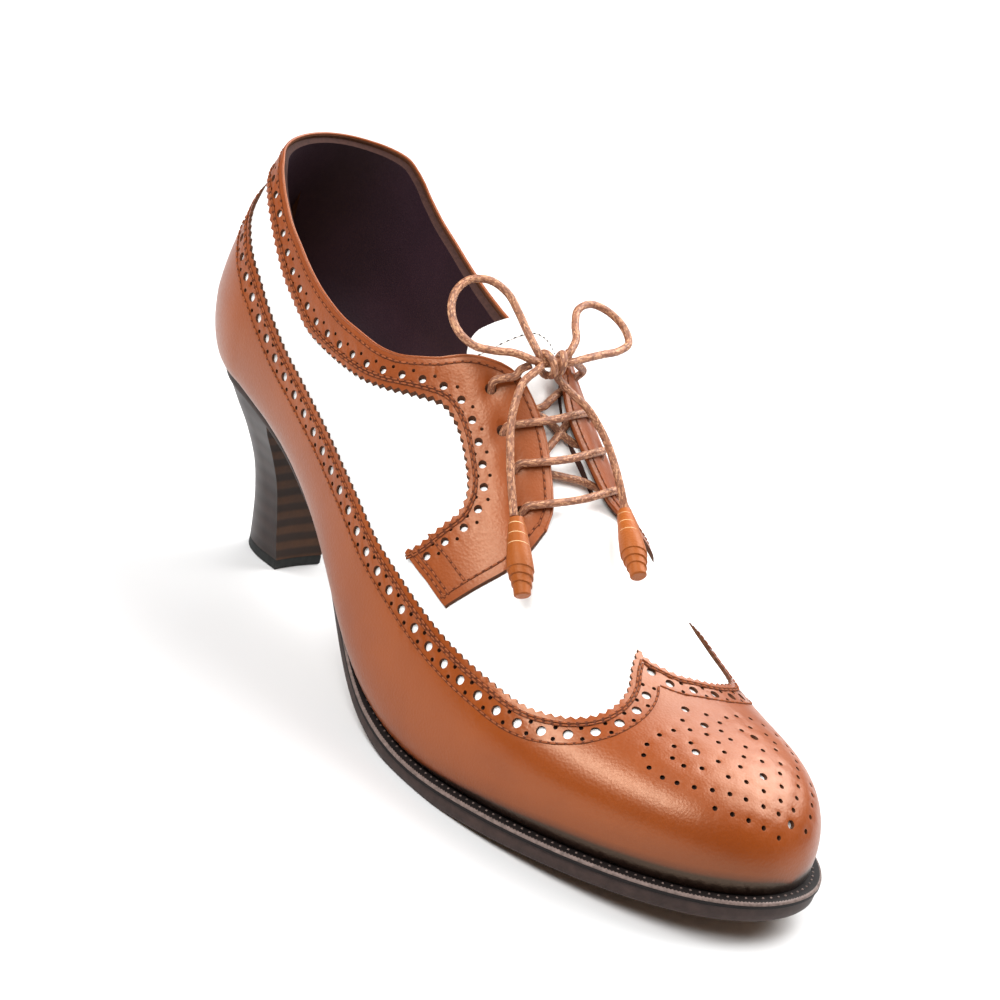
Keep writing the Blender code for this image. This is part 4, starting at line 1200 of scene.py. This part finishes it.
def make_outsole():
    one = stations((-HEEL_ARC, 0, TOE_A, TIP_A), (40, 110, 90))
    x = sections(np.ones(len(one)), one)[:, 0, 0]
    grow = ledge(x) - SOLE_INSET * fade(x, *SOLE_INSET_RUN)
    lateral, medial = [], []
    for side, rows in ((-1.0, lateral), (1.0, medial)):
        for inset, level in SOLE_PROFILE:
            plan = edge_plan(np.full(len(one), side), one, grow - inset)
            top, bottom = sole_top(plan[:, 0]), sole_bottom(plan[:, 0])
            rows.append(np.column_stack([plan, bottom + level * (top - bottom)]))
    points, faces = loft(np.stack(lateral + medial[::-1], 1))
    half = len(SOLE_PROFILE)
    chosen = [1 if i % (2 * half) == half - 1 else 0 for i in range(len(faces))]
    made = add_mesh("outsole_shaped", points, faces, (SOLE_EDGE, SOLE_FLOOR), chosen, 50.0)
    settle(made, "dark_edge", "outsole")


def make_insole():
    one = stations((-HEEL_ARC, 0, TOE_A, TIP_A), (30, 70, 50))
    left, right = (edge_plan(np.full(len(one), side), one, -INSOLE_INSET) for side in (-1.0, 1.0))
    tops, bottoms = [], []
    for share in np.linspace(-1, 1, 15):
        plan = left + (right - left) * (share + 1) / 2
        seat = seat_height(plan[:, 0])
        tops.append(np.column_stack([plan, seat + INSOLE_DEPTH + INSOLE_CUP * share ** 4 - INSOLE_DROP]))
        bottoms.append(np.column_stack([plan, seat]))
    points, faces = loft(np.stack(tops + bottoms[::-1], 1))
    settle(add_mesh("sock", points, faces, (SOCK,), sharp=50.0), "sock_leather", "insole")


def heel_outline(back, breast, half_width, middle):
    turn = np.linspace(0, math.pi / 2, HEEL_TURN_POINTS)
    start = back + HEEL_ROUND * (breast - back)
    side = np.linspace(start, breast, HEEL_SIDE_POINTS)[1:]
    x = np.concatenate([start - (start - back) * np.cos(turn), side])
    y = np.concatenate([half_width * np.sin(turn) ** HEEL_CURVE, np.full(len(side), half_width)])
    return x, middle - y, middle + y


def heel_ring(level, height):
    """One level of the heel: round behind, across the breast, slightly hollow there."""
    share, *plan = level
    x, lateral, medial = heel_outline(*plan)
    across = np.linspace(lateral[-1], medial[-1], BREAST_POINTS)[1:-1]
    hollow = 1 - ((across - (lateral[-1] + medial[-1]) / 2) / (medial[-1] - lateral[-1]) * 2) ** 2
    ring_x = np.concatenate([x, x[-1] - BREAST_HOLLOW * hollow, x[::-1][:-1]])
    ring_y = np.concatenate([lateral, across, medial[::-1][:-1]])
    return np.column_stack([ring_x, ring_y, height(ring_x, share)])


def make_heel():
    foot = TOP_PIECE_DEPTH + HEEL_GAP

    def height(x, share):
        return foot + share * (sole_bottom(x) - HEEL_GAP - foot)

    levels = smooth(HEEL, 0.6)
    levels = levels[np.argsort(levels[:, 0])]
    table = between(np.linspace(1, 0, HEEL_LEVELS), levels[:, 0], levels)
    rings = np.stack([heel_ring(level, height) for level in table])
    points, faces = loft(rings, caps=1)
    first = HEEL_TURN_POINTS + HEEL_SIDE_POINTS - 2
    breast = range(first, first + BREAST_POINTS - 1)
    chosen = [1 if i % rings.shape[1] in breast else 0 for i in range(len(faces))]
    made = add_mesh("heel_stack", points, faces, (STACK, BREAST), chosen, 45.0)
    settle(made, "stacked_heel", "heel_block")
    _, back, front, half_width, middle = HEEL[-1]
    rings = []
    for z, inset in TOP_PIECE_PROFILE:
        level = (z, back + inset, front - inset, half_width - inset, middle)
        rings.append(heel_ring(level, lambda x, share: np.full(len(x), share)))
    points, faces = loft(rings, caps=1)
    settle(add_mesh("heel_rubber", points, faces, (RUBBER,), sharp=45.0), "black_rubber", "heel_top_piece")


# Lace


def even_path(route, step):
    fine = smooth(route, 0.4)
    length = run_lengths(fine)
    goal = np.linspace(0, length[-1], max(3, round(length[-1] / step) + 1))
    return between(goal, length, fine), length[-1]


def cord_frames(path):
    """A direction across the path at each point that turns as little as it can."""
    run = unit(np.gradient(path, axis=0))
    first = np.cross(run[0], (0.3, 0.2, 1.0))
    sides = [first / np.linalg.norm(first)]
    for r in run[1:]:
        s = sides[-1] - r * (sides[-1] @ r)
        sides.append(s / np.linalg.norm(s))
    sides = np.array(sides)
    return sides, np.cross(run, sides)


def make_cord(name, route, radius=CORD / 2, nodes=()):
    """A braided cord through its route; returns the piece, its path and its length."""
    path, length = even_path(route, BRAID_STEP)
    side, up = cord_frames(path)
    wind = np.arange(len(path))[:, None] * BRAID_STEP * 2 * math.pi / BRAID_TURN
    strands = [np.abs(np.sin(STRANDS * angles(BRAID_SIDES) + way * wind)) for way in (1, -1)]
    size = radius * (1 - BRAID_DEPTH + BRAID_DEPTH * np.maximum(*strands))
    points, faces = loft(rounds(path, side, up, BRAID_SIDES, size[:, :, None]), caps=-1)
    made = add_mesh(name, points, faces, (LACE,), sharp=80.0)
    ring, k = np.divmod(np.arange(len(faces) - 2)[:, None], BRAID_SIDES)
    around = (k + (0, 1, 1, 0)) / BRAID_SIDES
    onward = (ring + (0, 0, 1, 1)) * BRAID_STEP / (2 * math.pi * radius)
    uv = np.zeros((len(made.data.loops), 2))
    uv[:around.size] = np.stack([around, onward], 2).reshape(-1, 2)
    made.data.uv_layers.new(name="map").data.foreach_set("uv", uv.ravel())
    settle(made, "waxed_lace", *nodes)
    return made, path, length


def make_tip(name, start, end):
    """A rolled leather barrel with pale wrap edges and a stepped lower end."""
    run = Vector(end) - Vector(start)
    turn = np.array(Vector((0, 0, 1)).rotation_difference(run).to_matrix())
    angle = angles(TIP_SIDES)
    lean = TIP_LEAN * np.sin(angle + TIP_LEAN_TURN)
    rings = []
    for share, radius in TIP_PROFILE:
        leaning = TIP_LEAN_RUN[0] < share < TIP_LEAN_RUN[1]
        along = (share + leaning * lean) * run.length
        ring = np.stack([radius * np.cos(angle), radius * np.sin(angle), along], 1)
        rings.append(start + ring @ turn.T)
    points, faces = loft(rings, caps=-1)
    chosen = [1 if i // TIP_SIDES in TIP_PALE else 0 for i in range(len(faces))]
    made = add_mesh(name + "_rolled", points, faces, (TIP, TIP_EDGE), chosen)
    return settle(made, "tip_leather", name)


def make_knot():
    """Two turns of lace round the crossing, a short core through them, and the laces led in."""
    start, end = (np.array(p) for p in KNOT)
    axis = (end - start) / np.linalg.norm(end - start)
    centre = (start + end) / 2
    up = np.array(KNOT_UP)
    up -= axis * (up @ axis)
    up /= np.linalg.norm(up)
    front = np.cross(axis, up)
    pieces = []
    for number, (shift, lean, reach, drop) in enumerate(KNOT_TURNS, start=1):
        ring = []
        for k in range(KNOT_STEPS + 1):
            angle = 2 * math.pi * k / KNOT_STEPS + KNOT_PHASE
            slide = shift + lean * math.sin(angle) + KNOT_CREEP * k
            around = up * math.cos(angle) + front * math.sin(angle)
            ring.append(centre + axis * slide + reach * around - drop * up)
        pieces.append(make_cord("knot_turn_%d" % number, ring)[0])
    core = [centre + axis * q + up * CORE_WAVE * math.sin(q) for q in np.linspace(-CORE_HALF, CORE_HALF, 7)]
    pieces.append(make_cord("knot_core", core, CORE_RADIUS)[0])
    loops, ends = ([LACE_ROUTES["lace_%s_%s" % (kind, hand)] for hand in HANDS] for kind in ("loop", "end"))
    entries = [route[:2] for route in loops + ends] + [route[:-3:-1] for route in loops]
    for number, (near, beyond) in enumerate(entries, start=1):
        near, outward = np.array(near), np.subtract(beyond, near)
        inner = centre + axis * np.clip((near - centre) @ axis, -ENTRY_REACH, ENTRY_REACH)
        outer = near + ENTRY_OVERLAP * outward / np.linalg.norm(outward)
        pieces.append(make_cord("knot_entry_%d" % number, [outer, near, inner], ENTRY_RADIUS)[0])
    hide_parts("lace_knot")
    return pieces


def make_bars():
    """Lace bars over rows two to four, from eyelet to eyelet, drawn taut towards the toe."""
    route = [(-s, g) for s, g in BAR_END] + [(0.0, BAR_MIDDLE)] + list(BAR_END[::-1])
    share, grow = np.array(route).T
    for row, (a, lat_reach, med_reach) in enumerate(EYELETS[1:], start=2):
        half = (lat_reach + med_reach) / 2
        middle = (med_reach - lat_reach) / 2
        forward = a + BAR_SHIFT * (1 - share ** 4) + BAR_BOW * np.maximum(1 - share ** 2, 0)
        name = "lace_bar_%d" % row
        make_cord(name + "_braid", place(forward, middle + half * share, grow), nodes=(name,))


def make_under_laces():
    for number, route in enumerate(UNDER_LACES, start=1):
        make_cord("lace_under_%d" % number, place(*smooth(route, 2.0).T, UNDER_LACE))


def make_leads():
    pieces = []
    a, lat_reach, med_reach = EYELETS[0]
    for hand, reach in zip(HANDS, (-lat_reach, med_reach)):
        name = "lace_lead_" + hand
        inner = place(a, (reach, reach * LEAD_IN), LEAD_HEIGHTS)
        route = np.concatenate([inner, LACE_ROUTES[name]])
        pieces.append(make_cord(name + "_braid", route, nodes=(name,))[0])
    return pieces


def make_lace():
    make_bars()
    make_under_laces()
    bow = make_knot() + make_leads()
    for kind, far_end, lay in (("loop", "object", "loose"), ("end", "fitting", "hanging")):
        for hand in HANDS:
            name = "lace_%s_%s" % (kind, hand)
            made, path, length = make_cord(name + "_braid", LACE_ROUTES[name], nodes=(name,))
            extra = bow if hand == "left" else []
            if kind == "end":
                extra = [make_tip("lace_tip_" + hand, *LACE_TIPS["lace_tip_" + hand])]
            metres(path[0])
            [list(p) for p in metres(path)]


# Stage


def make_camera():
    azimuth, elevation, roll = np.radians(CAMERA_TURN)
    back = np.array((math.sin(azimuth) * math.cos(elevation), -math.cos(azimuth) * math.cos(elevation),
                     math.sin(elevation)))
    right = np.array((math.cos(azimuth), math.sin(azimuth), 0.0))
    up = np.cross(back, right)
    rolled_right = right * math.cos(roll) + up * math.sin(roll)
    rolled_up = up * math.cos(roll) - right * math.sin(roll)
    data = bpy.data.cameras.new("camera")
    data.lens = CAMERA_LENS
    data.sensor_width = CAMERA_SENSOR
    data.clip_start = CAMERA_NEAR
    made = bpy.data.objects.new("camera", data)
    bpy.context.scene.collection.objects.link(made)
    turn = Matrix((rolled_right, rolled_up, back)).transposed()
    made.matrix_world = Matrix.Translation(metres(CAMERA_TARGET + back * CAMERA_DISTANCE)) @ turn.to_4x4()
    bpy.context.scene.camera = made


def add_light(name, place_m, aim_m, size, power):
    data = bpy.data.lights.new(name, "AREA")
    data.shape = "RECTANGLE"
    data.size, data.size_y = size
    data.energy = power
    made = bpy.data.objects.new(name, data)
    made.location = place_m
    made.rotation_euler = (Vector(aim_m) - Vector(place_m)).to_track_quat("-Z", "Y").to_euler()
    bpy.context.scene.collection.objects.link(made)


def make_stage():
    mesh = bpy.data.meshes.new("floor")
    corners = [(FLOOR_HALF * x, FLOOR_HALF * y, 0) for x, y in ((-1, -1), (1, -1), (1, 1), (-1, 1))]
    mesh.from_pydata(corners, [], [(0, 1, 2, 3)])
    floor = bpy.data.objects.new("floor", mesh)
    tone = (FLOOR_TONE, FLOOR_TONE, FLOOR_TONE, 1.0)
    mesh.materials.append(finish_nodes("pale_floor", {"Base Color": tone, "Roughness": FLOOR_ROUGH})[0])
    bpy.context.scene.collection.objects.link(floor)
    bpy.context.scene.view_settings.view_transform = "Standard"
    world = bpy.data.worlds.new("studio")
    world.use_nodes = True
    world.node_tree.nodes["Background"].inputs["Color"].default_value = (1.0, 1.0, 1.0, 1.0)
    world.node_tree.nodes["Background"].inputs["Strength"].default_value = WORLD_STRENGTH
    bpy.context.scene.world = world
    for light in LIGHTS:
        add_light(*light)


make_camera()
make_lace()
make_upper()
make_tongue()
make_wing()
make_facing(-1, "facing_lateral")
make_facing(1, "facing_medial")
make_collar_edge()
make_insole()
make_welt()
make_outsole()
make_heel()
make_stage()
